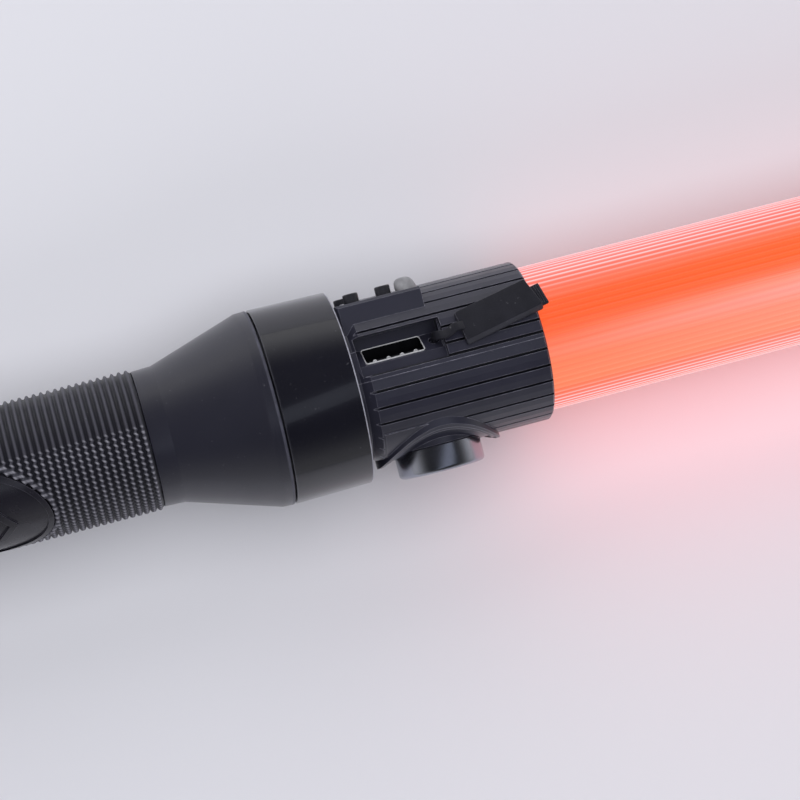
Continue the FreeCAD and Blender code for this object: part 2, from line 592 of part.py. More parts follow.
dome = Part.makeSphere(P["lens_r"], Vector(P["lens_x"], P["pad_top"] + 0.75, P["button_z"]))
dome = dome.common(Part.makeBox(6, 6, 6, Vector(P["lens_x"] - 3, P["pad_top"] + 0.75, P["button_z"] - 3)))
lens = dome.fuse(Part.makeCylinder(P["lens_r"], 0.70, Vector(P["lens_x"], P["pad_top"] + 0.05, P["button_z"]), Vector(0, 1, 0)))
lens = lens.fuse(Part.makeCylinder(1.3, P["pad_top"] - 13.2, Vector(P["lens_x"], 13.4, P["button_z"]), Vector(0, 1, 0))).removeSplitter()
keep(feature("indicator_lens", lens), "indicator_lens")
led = Part.makeBox(1.6, 0.8, 1.6, Vector(P["lens_x"] - 1.5, 11.45, P["button_z"] - 0.8))
keep(feature("indicator_led", led), "indicator_led")
button_board = Part.makeBox(15.1, 0.6, 21.6, Vector(169.65, 10.83, -10.8))
keep(feature("button_board", button_board), "button_board")

# ------------------------------------------------------------------ port: shell, tongue, contacts, board
hw, hh, wall = P["usb_width"] / 2, P["usb_height"] / 2, 0.35
usb_o = frame_box(port_c, EX, pu, pn, (-hw, hw), (-hh, hh), (-P["usb_depth"], 0.3))
usb_i = frame_box(port_c, EX, pu, pn, (-hw + wall, hw - wall), (-hh + wall, hh - wall), (-P["usb_depth"] + 0.6, 1.0))
usb_shell = usb_o.cut(usb_i)
keep(feature("usb_shell", usb_shell), "usb_shell")
tongue = frame_box(port_c, EX, pu, pn, (-hw + 0.9, hw - 0.9), (-hh + 0.75, -hh + 2.35), (-P["usb_depth"] + 0.65, -0.9))
back = frame_box(port_c, EX, pu, pn, (-hw + wall + 0.02, hw - wall - 0.02), (-hh + wall + 0.02, hh - wall - 0.02), (-P["usb_depth"] + 0.65, -P["usb_depth"] + 1.8))
keep(feature("usb_tongue", tongue.fuse(back).removeSplitter()), "usb_tongue")
pins = None
for k, dx in enumerate((-3.5, -1.0, 1.0, 3.5)):
    pin = frame_box(port_c, EX, pu, pn, (dx - 0.5, dx + 0.5), (-hh + 2.35, -hh + 2.6), (-P["usb_depth"] + 1.85, -1.2 - (0.5 if k in (1, 2) else 0)))
    pins = pin if pins is None else pins.fuse(pin)
keep(feature("usb_contacts", pins), "usb_contacts")
usb_board = frame_box(port_c, EX, pu, pn, (-hw + 0.2, hw - 0.2), (-hh - 1.3, -hh - 0.05), (-P["usb_depth"] + 0.5, -4.2))
keep(feature("usb_board", usb_board), "usb_board")

# ------------------------------------------------------------------ port lid and its strap
# The lid is a tapered rubber plug, open: turned over past the recess on its strap.
FOLD_X = 39.83          # fold axis, from the seam
TWIST = math.radians(5.9)               # the strap holds the open lid a little askew
LID_T = 1.6
LID_OUT = 0.03                          # closed lid, outer face over the recess rim
fold_dir = (lu * math.cos(TWIST) - EX * math.sin(TWIST)) * -1.0     # turning about this closes the lid


def lid_profile(grow):
    """Corners of the closed lid in the lid plane: long edge on the upper side."""
    return [(19.42 - grow, 0.12 - 4 * grow), (38.08 + grow, 0.12 - 4 * grow), (37.45 + grow, 7.75 + grow), (20.4 - grow, 7.75 + grow)]


def lid_wire(corners, level):
    pts = [LB + EX * x + lu * y + ln * level for x, y in corners]
    return Part.makePolygon(pts + [pts[0]])


lid_top = lid_wire(lid_profile(0.0), LID_OUT)
lid_mid = lid_wire(lid_profile(0.0), LID_OUT - 0.7)
lid_bot = lid_wire(lid_profile(-0.1), LID_OUT - LID_T)
lid = Part.makeLoft([lid_mid, lid_bot], True, True).fuse(Part.makeLoft([lid_top, lid_mid], True, True)).removeSplitter()
tab = frame_box(LB, EX, lu, ln, (17.9, 20.0), (0.7, 5.8), (LID_OUT - 0.85, LID_OUT))
lid = lid.fuse(tab).removeSplitter()

# fold axis: set so that the open lid just clears the collar
fold_pt = LB + EX * FOLD_X + lu * 4.1 + ln * 0.39


def opened(shape):
    s = shape.copy()
    s.rotate(fold_pt, fold_dir, -180)
    return s


def opened_point(p):
    return Rotation(fold_dir, -180).multVec(p.sub(fold_pt)).add(fold_pt)


keep(feature("port_lid", opened(lid)), "port_lid")

# strap: from the anchor in the recess end, over the fold, to the lid's stud
a0 = anchor_at
e0 = opened_point(LB + EX * 37.6 + lu * 4.1 + ln * (LID_OUT - LID_T))   # top of the open lid's near end
pts3 = [a0 - pn * 0.7, a0 + pn * 0.9 + Vector(0, 0, 0.6), a0 + Vector(0.4, 0.75, 3.5), a0 + Vector(2.1, 0.6, 5.75),
        Vector(e0.x - 1.4, e0.y + 0.2, e0.z + 0.35), Vector(e0.x - 0.35, e0.y + 0.2, e0.z - 0.9)]
strap_curve = Part.BSplineCurve()
strap_curve.interpolate(pts3)
prof_pts = [pts3[0] + EX * -0.45 + pu * -1.0, pts3[0] + EX * 0.45 + pu * -1.0, pts3[0] + EX * 0.45 + pu * 1.0, pts3[0] + EX * -0.45 + pu * 1.0]
prof = Part.makePolygon(prof_pts + [prof_pts[0]])
strap = Part.Wire([strap_curve.toShape()]).makePipeShell([prof], True, False)
strap = strap.cut(opened(lid))
strap = sorted(strap.Solids, key=lambda k: -k.Volume)[0]
keep(feature("lid_strap", strap), "lid_strap")

# ------------------------------------------------------------------ light tube
tube_pts = []
nr = int(P["tube_ribs"])
for k in range(nr):
    a = 360.0 / nr * k
    tube_pts += [around(a - 0.9, P["tube_r"]), around(a + 0.9, P["tube_r"]), around(a + 2.5, P["tube_r"] - P["tube_rib_depth"])]
tube = extrude_x(tube_pts, P["tube_start_x"], P["tip_cap_x"] + 5.0)
tube = tube.cut(Part.makeCylinder(P["tube_bore_r"], 400, Vector(P["tube_start_x"] - 1, 0, 0), Vector(1, 0, 0)))
keep(feature("light_tube", tube), "light_tube")

tip_cap = turned("tip_cap", [
    (("tip_cap_x", 0), ("tube_r", 0.06)),
    (("tip_cap_x", 0), ("tip_cap_r", -0.2)),
    (("tip_cap_x", 0.3), ("tip_cap_r", 0)),
    (("overall_length", -2.6), ("tip_cap_r", 0)),
    (("overall_length", 0), ("tip_cap_r", -3.2)),
    (("overall_length", 0), None),
    (("tip_cap_x", 5.1), None),
    (("tip_cap_x", 5.1), ("tube_r", 0.06)),
], fillets=[(("overall_length", -2.6), ("tip_cap_r", 0), 1.8), (("overall_length", 0), ("tip_cap_r", -3.2), 1.8)])

# ------------------------------------------------------------------ light engine inside the tube
board = box("led_board", (326.0, 20.0, 1.2), (P["tube_start_x"] + 4.0, -10.0, -0.6))
keep(board, "led_board")


def led_row(name, y, side):
    chips = []
    for k in range(22):
        x = P["tube_start_x"] + 12.0 + 14.6 * k
        z = 0.62 if side > 0 else -0.62 - 1.6
        chips.append(Part.makeBox(3.5, 2.8, 1.6, Vector(x, y - 1.4, z)))
    return keep(feature(name, Part.makeCompound(chips)), name)


led_row("leds_upper_left", 5.5, 1)
led_row("leds_upper_right", -5.5, 1)
led_row("leds_lower_left", 5.5, -1)
led_row("leds_lower_right", -5.5, -1)


def holder(name, x0, x1):
    disc = Part.makeCylinder(P["tube_bore_r"] - 0.06, x1 - x0, Vector(x0, 0, 0), Vector(1, 0, 0))
    slot = Part.makeBox(x1 - x0 + 2, 20.1, 1.3, Vector(x0 - 1, -10.05, -0.65))
    return keep(feature(name, disc.cut(slot)), name)


holder("board_holder_root", P["tube_start_x"] + 4.2, P["tube_start_x"] + 8.2)
holder("board_holder_tip", P["tip_cap_x"] - 7.0, P["tip_cap_x"] - 3.5)
reflector = Part.makeCylinder(P["tube_bore_r"] - 0.06, 1.5, Vector(P["tip_cap_x"] + 3.4, 0, 0), Vector(1, 0, 0))
keep(feature("tip_reflector", reflector), "tip_reflector")

# ------------------------------------------------------------------ battery and main board
cx = P["spigot_end_x"] + 5.5
cell = Part.makeCylinder(P["cell_r"], P["cell_length"] - 1.5, Vector(cx, 0, 0), Vector(1, 0, 0)).fuse(
    Part.makeCylinder(3.0, P["cell_length"], Vector(cx, 0, 0), Vector(1, 0, 0))).removeSplitter()
keep(feature("battery_cell", cell), "battery_cell")
front_x = cx + P["cell_length"]
keep(cyl("front_contact", 4.0, 0.6, (front_x + 0.05, 0, 0), AX), "front_contact")
carrier = Part.makeCylinder(P["core_bore_r"] - 0.06, 6.0, Vector(front_x + 0.7, 0, 0), Vector(1, 0, 0))
carrier = carrier.cut(Part.makeBox(10, 18.2, 1.7, Vector(front_x + 3.2, -9.1, -0.85)))
keep(feature("contact_carrier", carrier), "contact_carrier")
main_board = Part.makeBox(P["seam_x"] + 3.0 - (front_x + 3.3), 16.0, 1.6, Vector(front_x + 3.3, -8.0, -0.8))
keep(feature("main_board", main_board), "main_board")
buzzer = Part.makeCylinder(6.0, 4.5, Vector(P["seam_x"] - 8.0, 0, 0.85), Vector(0, 0, 1)).cut(
    Part.makeCylinder(1.0, 3.0, Vector(P["seam_x"] - 8.0, 0, 3.5), Vector(0, 0, 1)))
keep(feature("siren_buzzer", buzzer), "siren_buzzer")

# ------------------------------------------------------------------ collar screws
cs = []
posts_front = front
posts_rear = rear
for sx, sz in ((195.9, -12.1), (171.6, -12.1)):
    post_r = Part.makeCylinder(2.6, 11.0, Vector(sx, -11.05, sz), Vector(0, 1, 0)).common(Part.makeCylinder(15.6, 80, Vector(P["seam_x"], 0, 0), Vector(1, 0, 0)))
    post_f = Part.makeCylinder(2.6, 10.6, Vector(sx, 0.02, sz), Vector(0, 1, 0)).common(Part.makeCylinder(15.6, 80, Vector(P["seam_x"], 0, 0), Vector(1, 0, 0)))
    hole_r = Part.makeCylinder(1.1, 30, Vector(sx, -22, sz), Vector(0, 1, 0)).fuse(Part.makeCylinder(2.2, 16, Vector(sx, -23.8, sz), Vector(0, 1, 0)))
    hole_f = Part.makeCylinder(1.05, 9.0, Vector(sx, 0, sz), Vector(0, 1, 0))
    posts_rear = posts_rear.fuse(post_r).cut(hole_r)
    posts_front = posts_front.fuse(post_f).cut(hole_f)
    s1 = Part.makeCylinder(2.1, 1.5, Vector(sx, -9.3, sz), Vector(0, 1, 0)).fuse(Part.makeCylinder(1.02, 15.0, Vector(sx, -7.9, sz), Vector(0, 1, 0))).removeSplitter()
    s1 = s1.cut(Part.makeBox(2.4, 0.9, 0.5, Vector(sx - 1.2, -9.35, sz - 0.25))).cut(Part.makeBox(0.5, 0.9, 2.4, Vector(sx - 0.25, -9.35, sz - 1.2)))
    cs.append(s1)
for o, label in SUBPARTS:
    if label == "collar_button_shell":
        o.Shape = posts_front.removeSplitter()
    if label == "collar_magnet_shell":
        o.Shape = posts_rear.removeSplitter()
keep(feature("collar_screws", Part.makeCompound(cs)), "collar_screws")

# ------------------------------------------------------------------ placements
doc.recompute()
for obj, label in SUBPARTS:
    if label == "tail_o_ring":
        local = Placement(Vector(P["cap_end_x"] + 2.0 + 1.05, 0, 0), Rotation(Vector(0, 0, 1), Vector(1, 0, 0)))
        obj.Placement = OFFSET.multiply(local)
    else:
        obj.Placement = OFFSET.multiply(obj.Placement)
doc.recompute()

bad = []
for obj in doc.Objects:
    if "Invalid" in obj.State or "Error" in obj.State:
        bad.append(obj.Name + " " + str(obj.State))
for obj, label in SUBPARTS:
    if obj.Shape.isNull() or not obj.Shape.isValid() or not obj.Shape.Solids:
        bad.append(label + " has no sound shape")
if bad:
    raise RuntimeError("; ".join(bad))
names = [label for _, label in SUBPARTS]
if len(set(names)) != len(names) or len(names) > 60:
    raise RuntimeError("node names repeat or too many")
for obj, label in SUBPARTS:
    obj.Shape.exportStep(os.path.join("parts", label + ".step"))
    print(label, len(obj.Shape.Solids), round(obj.Shape.Volume, 1))
print(len(names), "nodes")
print("fold axis point", OFFSET.multVec(fold_pt), "direction", fold_dir)
print("port centre", OFFSET.multVec(port_c), "normal", pn)
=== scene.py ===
import json
import math

import bmesh
import bpy
import numpy as np
from mathutils import Matrix, Vector


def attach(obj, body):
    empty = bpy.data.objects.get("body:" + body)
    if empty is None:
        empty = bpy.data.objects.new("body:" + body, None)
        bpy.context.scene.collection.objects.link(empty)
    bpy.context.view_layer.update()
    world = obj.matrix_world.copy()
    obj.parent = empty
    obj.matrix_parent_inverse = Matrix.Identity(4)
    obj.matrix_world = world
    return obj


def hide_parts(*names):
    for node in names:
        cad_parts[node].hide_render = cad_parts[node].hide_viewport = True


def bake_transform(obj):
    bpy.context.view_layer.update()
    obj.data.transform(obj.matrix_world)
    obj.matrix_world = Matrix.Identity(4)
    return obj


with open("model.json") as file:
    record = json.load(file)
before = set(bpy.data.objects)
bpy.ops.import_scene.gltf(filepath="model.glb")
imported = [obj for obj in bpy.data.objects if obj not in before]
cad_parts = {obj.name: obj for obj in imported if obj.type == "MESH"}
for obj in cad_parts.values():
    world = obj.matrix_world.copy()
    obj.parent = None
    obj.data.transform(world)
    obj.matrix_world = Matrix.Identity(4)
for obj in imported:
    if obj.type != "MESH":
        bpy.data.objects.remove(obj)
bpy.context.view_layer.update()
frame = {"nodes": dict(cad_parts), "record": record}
NODES = frame["nodes"]

# ------------------------------------------------------------------ the baton's own measures, in mm
# t runs along the baton from its tail, y to the button side, z up from its axis.
AXIS_Z = 21.6
HALF = 270.0


def row(t, y, z):
    return ((t - HALF) / 1000.0, y / 1000.0, (z + AXIS_Z) / 1000.0)


def rows(p):
    p = np.asarray(p, dtype=float)
    out = np.empty_like(p)
    out[..., 0] = (p[..., 0] - HALF) / 1000.0
    out[..., 1] = p[..., 1] / 1000.0
    out[..., 2] = (p[..., 2] + AXIS_Z) / 1000.0
    return out


def smooth(a, b, x):
    k = np.clip((x - a) / (b - a), 0.0, 1.0)
    return k * k * (3 - 2 * k)


# ------------------------------------------------------------------ materials
def node(tree, kind, **inputs):
    n = tree.nodes.new(kind)
    for k, v in inputs.items():
        n.inputs[k.replace("_", " ")].default_value = v
    return n


def coords(tree, scale=(1.0, 1.0, 1.0)):
    tc = tree.nodes.new("ShaderNodeTexCoord")
    mp = tree.nodes.new("ShaderNodeMapping")
    mp.inputs["Scale"].default_value = scale
    tree.links.new(tc.outputs["Object"], mp.inputs["Vector"])
    return mp.outputs["Vector"]


def noise(tree, vec, scale, detail=4.0, rough=0.55):
    n = tree.nodes.new("ShaderNodeTexNoise")
    n.inputs["Scale"].default_value = scale
    n.inputs["Detail"].default_value = detail
    n.inputs["Roughness"].default_value = rough
    tree.links.new(vec, n.inputs["Vector"])
    return n.outputs["Fac"]


def remap(tree, src, a, b, c, d):
    m = tree.nodes.new("ShaderNodeMapRange")
    for k, v in zip(("From Min", "From Max", "To Min", "To Max"), (a, b, c, d)):
        m.inputs[k].default_value = v
    tree.links.new(src, m.inputs["Value"])
    return m.outputs["Result"]


def math_node(tree, op, a, b=None):
    m = tree.nodes.new("ShaderNodeMath")
    m.operation = op
    for i, v in enumerate((a, b)):
        if v is None:
            continue
        if isinstance(v, (int, float)):
            m.inputs[i].default_value = v
        else:
            tree.links.new(v, m.inputs[i])
    return m.outputs[0]


def mix(tree, fac, a, b):
    m = tree.nodes.new("ShaderNodeMix")
    m.data_type = "RGBA"
    if isinstance(fac, (int, float)):
        m.inputs["Factor"].default_value = fac
    else:
        tree.links.new(fac, m.inputs["Factor"])
    for name, v in (("A", a), ("B", b)):
        sock = [s for s in m.inputs if s.name == name and s.type == "RGBA"][0]
        if isinstance(v, tuple):
            sock.default_value = v
        else:
            tree.links.new(v, sock)
    return [s for s in m.outputs if s.type == "RGBA"][0]


def rgb(r, g, b):
    """Colour given as it looks on a screen, 0 to 255."""
    def lin(c):
        c /= 255.0
        return c / 12.92 if c <= 0.04045 else ((c + 0.055) / 1.055) ** 2.4
    return (lin(r), lin(g), lin(b), 1.0)


def scaled(c, k):
    return (min(c[0] * k, 1), min(c[1] * k, 1), min(c[2] * k, 1), 1.0)


def surface(name, colour, rough=0.45, vary=0.25, vary_scale=60.0, rough_vary=0.1, grain=1800.0, bump=0.12, grain_mm=0.03,
            specular=0.5, metallic=0.0, coat=0.0, coat_rough=0.05, edge=0.0, edge_mm=0.25, edge_colour=None, sheen=0.0,
            stretch=(1.0, 1.0, 1.0), dust=0.0, scratch=0.0, round_mm=0.0):
    """A worn, grained surface: colour drift, fine grain, patchy gloss, rubbed edges painted pale as part wear and part
    painted edge highlight, and a little dust.
    """
    m = bpy.data.materials.new(name)
    m.use_nodes = True
    t = m.node_tree
    p = t.nodes["Principled BSDF"]
    vec = coords(t, stretch)
    big = noise(t, vec, vary_scale, 5.0)
    base = mix(t, remap(t, big, 0.3, 0.7, 0.0, 1.0), scaled(colour, 1 - vary), scaled(colour, 1 + vary))
    fine = noise(t, vec, grain, 3.0, 0.6)
    if dust > 0:
        specks = noise(t, vec, 900.0, 2.0, 0.7)
        base = mix(t, remap(t, specks, 0.69, 0.8, 0.0, dust), base, rgb(150, 148, 155))
    if edge > 0:
        # edges found by the bevel normal are painted pale: partly rubbed wear, partly painted edge highlight
        bev = t.nodes.new("ShaderNodeBevel")
        bev.samples = 6
        bev.inputs["Radius"].default_value = edge_mm / 1000.0
        geo = t.nodes.new("ShaderNodeNewGeometry")
        dot = t.nodes.new("ShaderNodeVectorMath")
        dot.operation = "DOT_PRODUCT"
        t.links.new(bev.outputs["Normal"], dot.inputs[0])
        t.links.new(geo.outputs["Normal"], dot.inputs[1])
        edge_wear_and_highlight = remap(t, dot.outputs["Value"], 0.995, 0.86, 0.0, 1.0)
        patch = remap(t, noise(t, vec, 420.0, 3.0), 0.35, 0.65, 0.35, 1.0)
        edge_wear_and_highlight = math_node(t, "MULTIPLY", math_node(t, "MULTIPLY", edge_wear_and_highlight, patch), edge)
        base = mix(t, edge_wear_and_highlight, base, edge_colour or scaled(colour, 4.0))
    t.links.new(base, p.inputs["Base Color"])
    r = remap(t, noise(t, vec, vary_scale * 3.0, 4.0), 0.3, 0.7, max(rough - rough_vary, 0.02), min(rough + rough_vary, 1.0))
    if scratch > 0:
        lines = noise(t, coords(t, (stretch[0] * 12, stretch[1] * 260, stretch[2] * 260)), 40.0, 2.0, 0.5)
        r = math_node(t, "ADD", r, remap(t, lines, 0.62, 0.78, 0.0, scratch))
    t.links.new(r, p.inputs["Roughness"])
    p.inputs["Metallic"].default_value = metallic
    p.inputs["Specular IOR Level"].default_value = specular
    p.inputs["Coat Weight"].default_value = coat
    p.inputs["Coat Roughness"].default_value = coat_rough
    p.inputs["Sheen Weight"].default_value = sheen
    p.inputs["Sheen Roughness"].default_value = 0.4
    b = t.nodes.new("ShaderNodeBump")
    b.inputs["Strength"].default_value = bump
    b.inputs["Distance"].default_value = grain_mm / 1000.0
    t.links.new(fine, b.inputs["Height"])
    if round_mm > 0:
        rb = t.nodes.new("ShaderNodeBevel")
        rb.samples = 6
        rb.inputs["Radius"].default_value = round_mm / 1000.0
        t.links.new(rb.outputs["Normal"], b.inputs["Normal"])
    t.links.new(b.outputs["Normal"], p.inputs["Normal"])
    return m


PALE = rgb(120, 118, 134)
M = {
    "grip": surface("grip_rubber", rgb(33, 33, 42), rough=0.46, vary=0.2, vary_scale=90, rough_vary=0.09, grain=2600, bump=0.35, grain_mm=0.05,
                    specular=0.5, dust=0.3, edge=0.7, edge_mm=0.16, edge_colour=PALE),
    "cone": surface("housing_plastic", rgb(30, 30, 41), coat=0.5, coat_rough=0.3, rough=0.42, vary=0.1, vary_scale=40, rough_vary=0.04, grain=3200, bump=0.2, grain_mm=0.035,
                    specular=0.5, dust=0.15, edge=0.25, edge_mm=0.3),
    "ring": surface("ring_plastic", rgb(21, 21, 29), coat=0.4, coat_rough=0.06, rough=0.2, vary=0.12, vary_scale=50, rough_vary=0.04, grain=1500, bump=0.05, grain_mm=0.02,
                    specular=0.5, dust=0.12, edge=1.0, edge_mm=0.4, edge_colour=rgb(176, 176, 190), scratch=0.1),
    # the cone's outer rim at the seam, painted paler as a highlight
    "cone_rim": surface("seam_painted_highlight", rgb(62, 62, 74), rough=0.4, vary=0.3, vary_scale=500, grain=2600, bump=0.2, grain_mm=0.03, specular=0.5),
    # the ring's front rim, painted pale as a highlight line
    "ring_rim": surface("rim_painted_highlight", rgb(150, 150, 162), rough=0.4, vary=0.25, vary_scale=900, grain=2000, bump=0.1, grain_mm=0.02, specular=0.5),
    "collar": surface("collar_plastic", rgb(41, 41, 53), coat=0.3, coat_rough=0.2, rough=0.34, vary=0.12, vary_scale=70, rough_vary=0.06, grain=2600, bump=0.2, grain_mm=0.035,
                      specular=0.45, dust=0.12, edge=0.95, edge_mm=0.18, edge_colour=rgb(146, 145, 160), round_mm=0.08, scratch=0.08),
    "dark": surface("dark_plastic", rgb(30, 30, 34), rough=0.45, vary=0.2, grain=2400, bump=0.2, specular=0.45, edge=0.35, edge_mm=0.3, round_mm=0.25, dust=0.15),
    "cap": surface("cap_plastic", rgb(33, 32, 38), rough=0.4, vary=0.18, vary_scale=60, grain=2400, bump=0.3, grain_mm=0.05, specular=0.5,
                   edge=0.45, edge_mm=0.5, round_mm=0.5, dust=0.2, scratch=0.1),
    "seal": surface("seal_rubber", rgb(20, 20, 22), rough=0.6, vary=0.15, grain=2000, bump=0.2, specular=0.3),
    "button": surface("button_rubber", rgb(38, 38, 44), rough=0.38, vary=0.18, vary_scale=300, grain=3000, bump=0.3, specular=0.5, edge=0.3, edge_mm=0.12, dust=0.2),
    "lid": surface("lid_rubber", rgb(29, 29, 36), rough=0.5, vary=0.16, vary_scale=200, grain=2600, bump=0.4, grain_mm=0.05, specular=0.4, edge=0.75, edge_mm=0.2, edge_colour=rgb(140, 138, 150), dust=0.2),
    # paler copy of the lid rubber for its side walls: painted light
    "lid_side": surface("lid_side_painted_light", rgb(50, 50, 58), rough=0.5, vary=0.2, vary_scale=200, grain=2600, bump=0.4, grain_mm=0.05, specular=0.45, edge=0.8, edge_mm=0.2, edge_colour=rgb(140, 138, 150), dust=0.2),
    "badge": surface("badge_plastic", rgb(31, 30, 37), rough=0.26, vary=0.2, grain=1800, bump=0.1, specular=0.55, edge=0.5, edge_mm=0.15, edge_colour=PALE, round_mm=0.12, dust=0.15),
    "steel_dark": surface("shaded_steel", rgb(30, 30, 34), rough=0.4, vary=0.3, vary_scale=500, metallic=0.6, grain=1800, bump=0.1, grain_mm=0.01),
    # darkened brass for the contacts deep in the port: painted shade
    "brass_dark": surface("shaded_brass", rgb(112, 92, 52), rough=0.35, vary=0.25, metallic=0.9, grain=1500, bump=0.06),
    "steel": surface("plated_steel", rgb(232, 232, 236), rough=0.3, vary=0.1, vary_scale=300, metallic=0.35, grain=1800, bump=0.08, grain_mm=0.01,
                     stretch=(1, 6, 6), scratch=0.15, round_mm=0.06),
    "screw": surface("screw_steel", rgb(170, 170, 176), rough=0.3, vary=0.2, vary_scale=400, metallic=1.0, grain=1500, bump=0.1, round_mm=0.1),
    "puck": surface("polished_plating", rgb(164, 166, 176), rough=0.24, vary=0.05, vary_scale=120, rough_vary=0.02, metallic=1.0, grain=700, bump=0.03, grain_mm=0.01,
                    scratch=0.03, dust=0.03),
    "brass": surface("contact_brass", rgb(214, 178, 96), rough=0.28, vary=0.15, metallic=1.0, grain=1500, bump=0.06),
    "alu": surface("turned_aluminium", rgb(150, 150, 156), rough=0.32, vary=0.1, metallic=1.0, grain=900, bump=0.2, stretch=(60, 1, 1)),
    "board": surface("board_mask", rgb(22, 78, 46), rough=0.3, vary=0.25, vary_scale=260, grain=900, bump=0.2, specular=0.5),
    "white_board": surface("board_white", rgb(226, 224, 216), rough=0.35, vary=0.05, vary_scale=150, grain=900, bump=0.1),
    "white": surface("white_plastic", rgb(230, 228, 224), rough=0.3, vary=0.05, grain=900, bump=0.1),
    "chip": surface("led_package", rgb(240, 150, 110), rough=0.2, vary=0.1, grain=900, bump=0.05),
    "cell": surface("cell_wrap", rgb(44, 78, 130), rough=0.25, vary=0.15, grain=800, bump=0.15, specular=0.5),
}


def lens_material():
    m = bpy.data.materials.new("frosted_lens")
    m.use_nodes = True
    t = m.node_tree
    p = t.nodes["Principled BSDF"]
    vec = coords(t)
    base = mix(t, remap(t, noise(t, vec, 500.0, 3.0), 0.35, 0.65, 0.0, 1.0), rgb(148, 147, 152), rgb(176, 176, 180))
    t.links.new(base, p.inputs["Base Color"])
    t.links.new(remap(t, noise(t, vec, 700.0, 3.0), 0.3, 0.7, 0.3, 0.5), p.inputs["Roughness"])
    p.inputs["Transmission Weight"].default_value = 0.35
    p.inputs["IOR"].default_value = 1.45
    b = t.nodes.new("ShaderNodeBump")
    b.inputs["Strength"].default_value = 0.25
    b.inputs["Distance"].default_value = 0.00004
    t.links.new(noise(t, vec, 2200.0, 2.0), b.inputs["Height"])
    t.links.new(b.outputs["Normal"], p.inputs["Normal"])
    return m


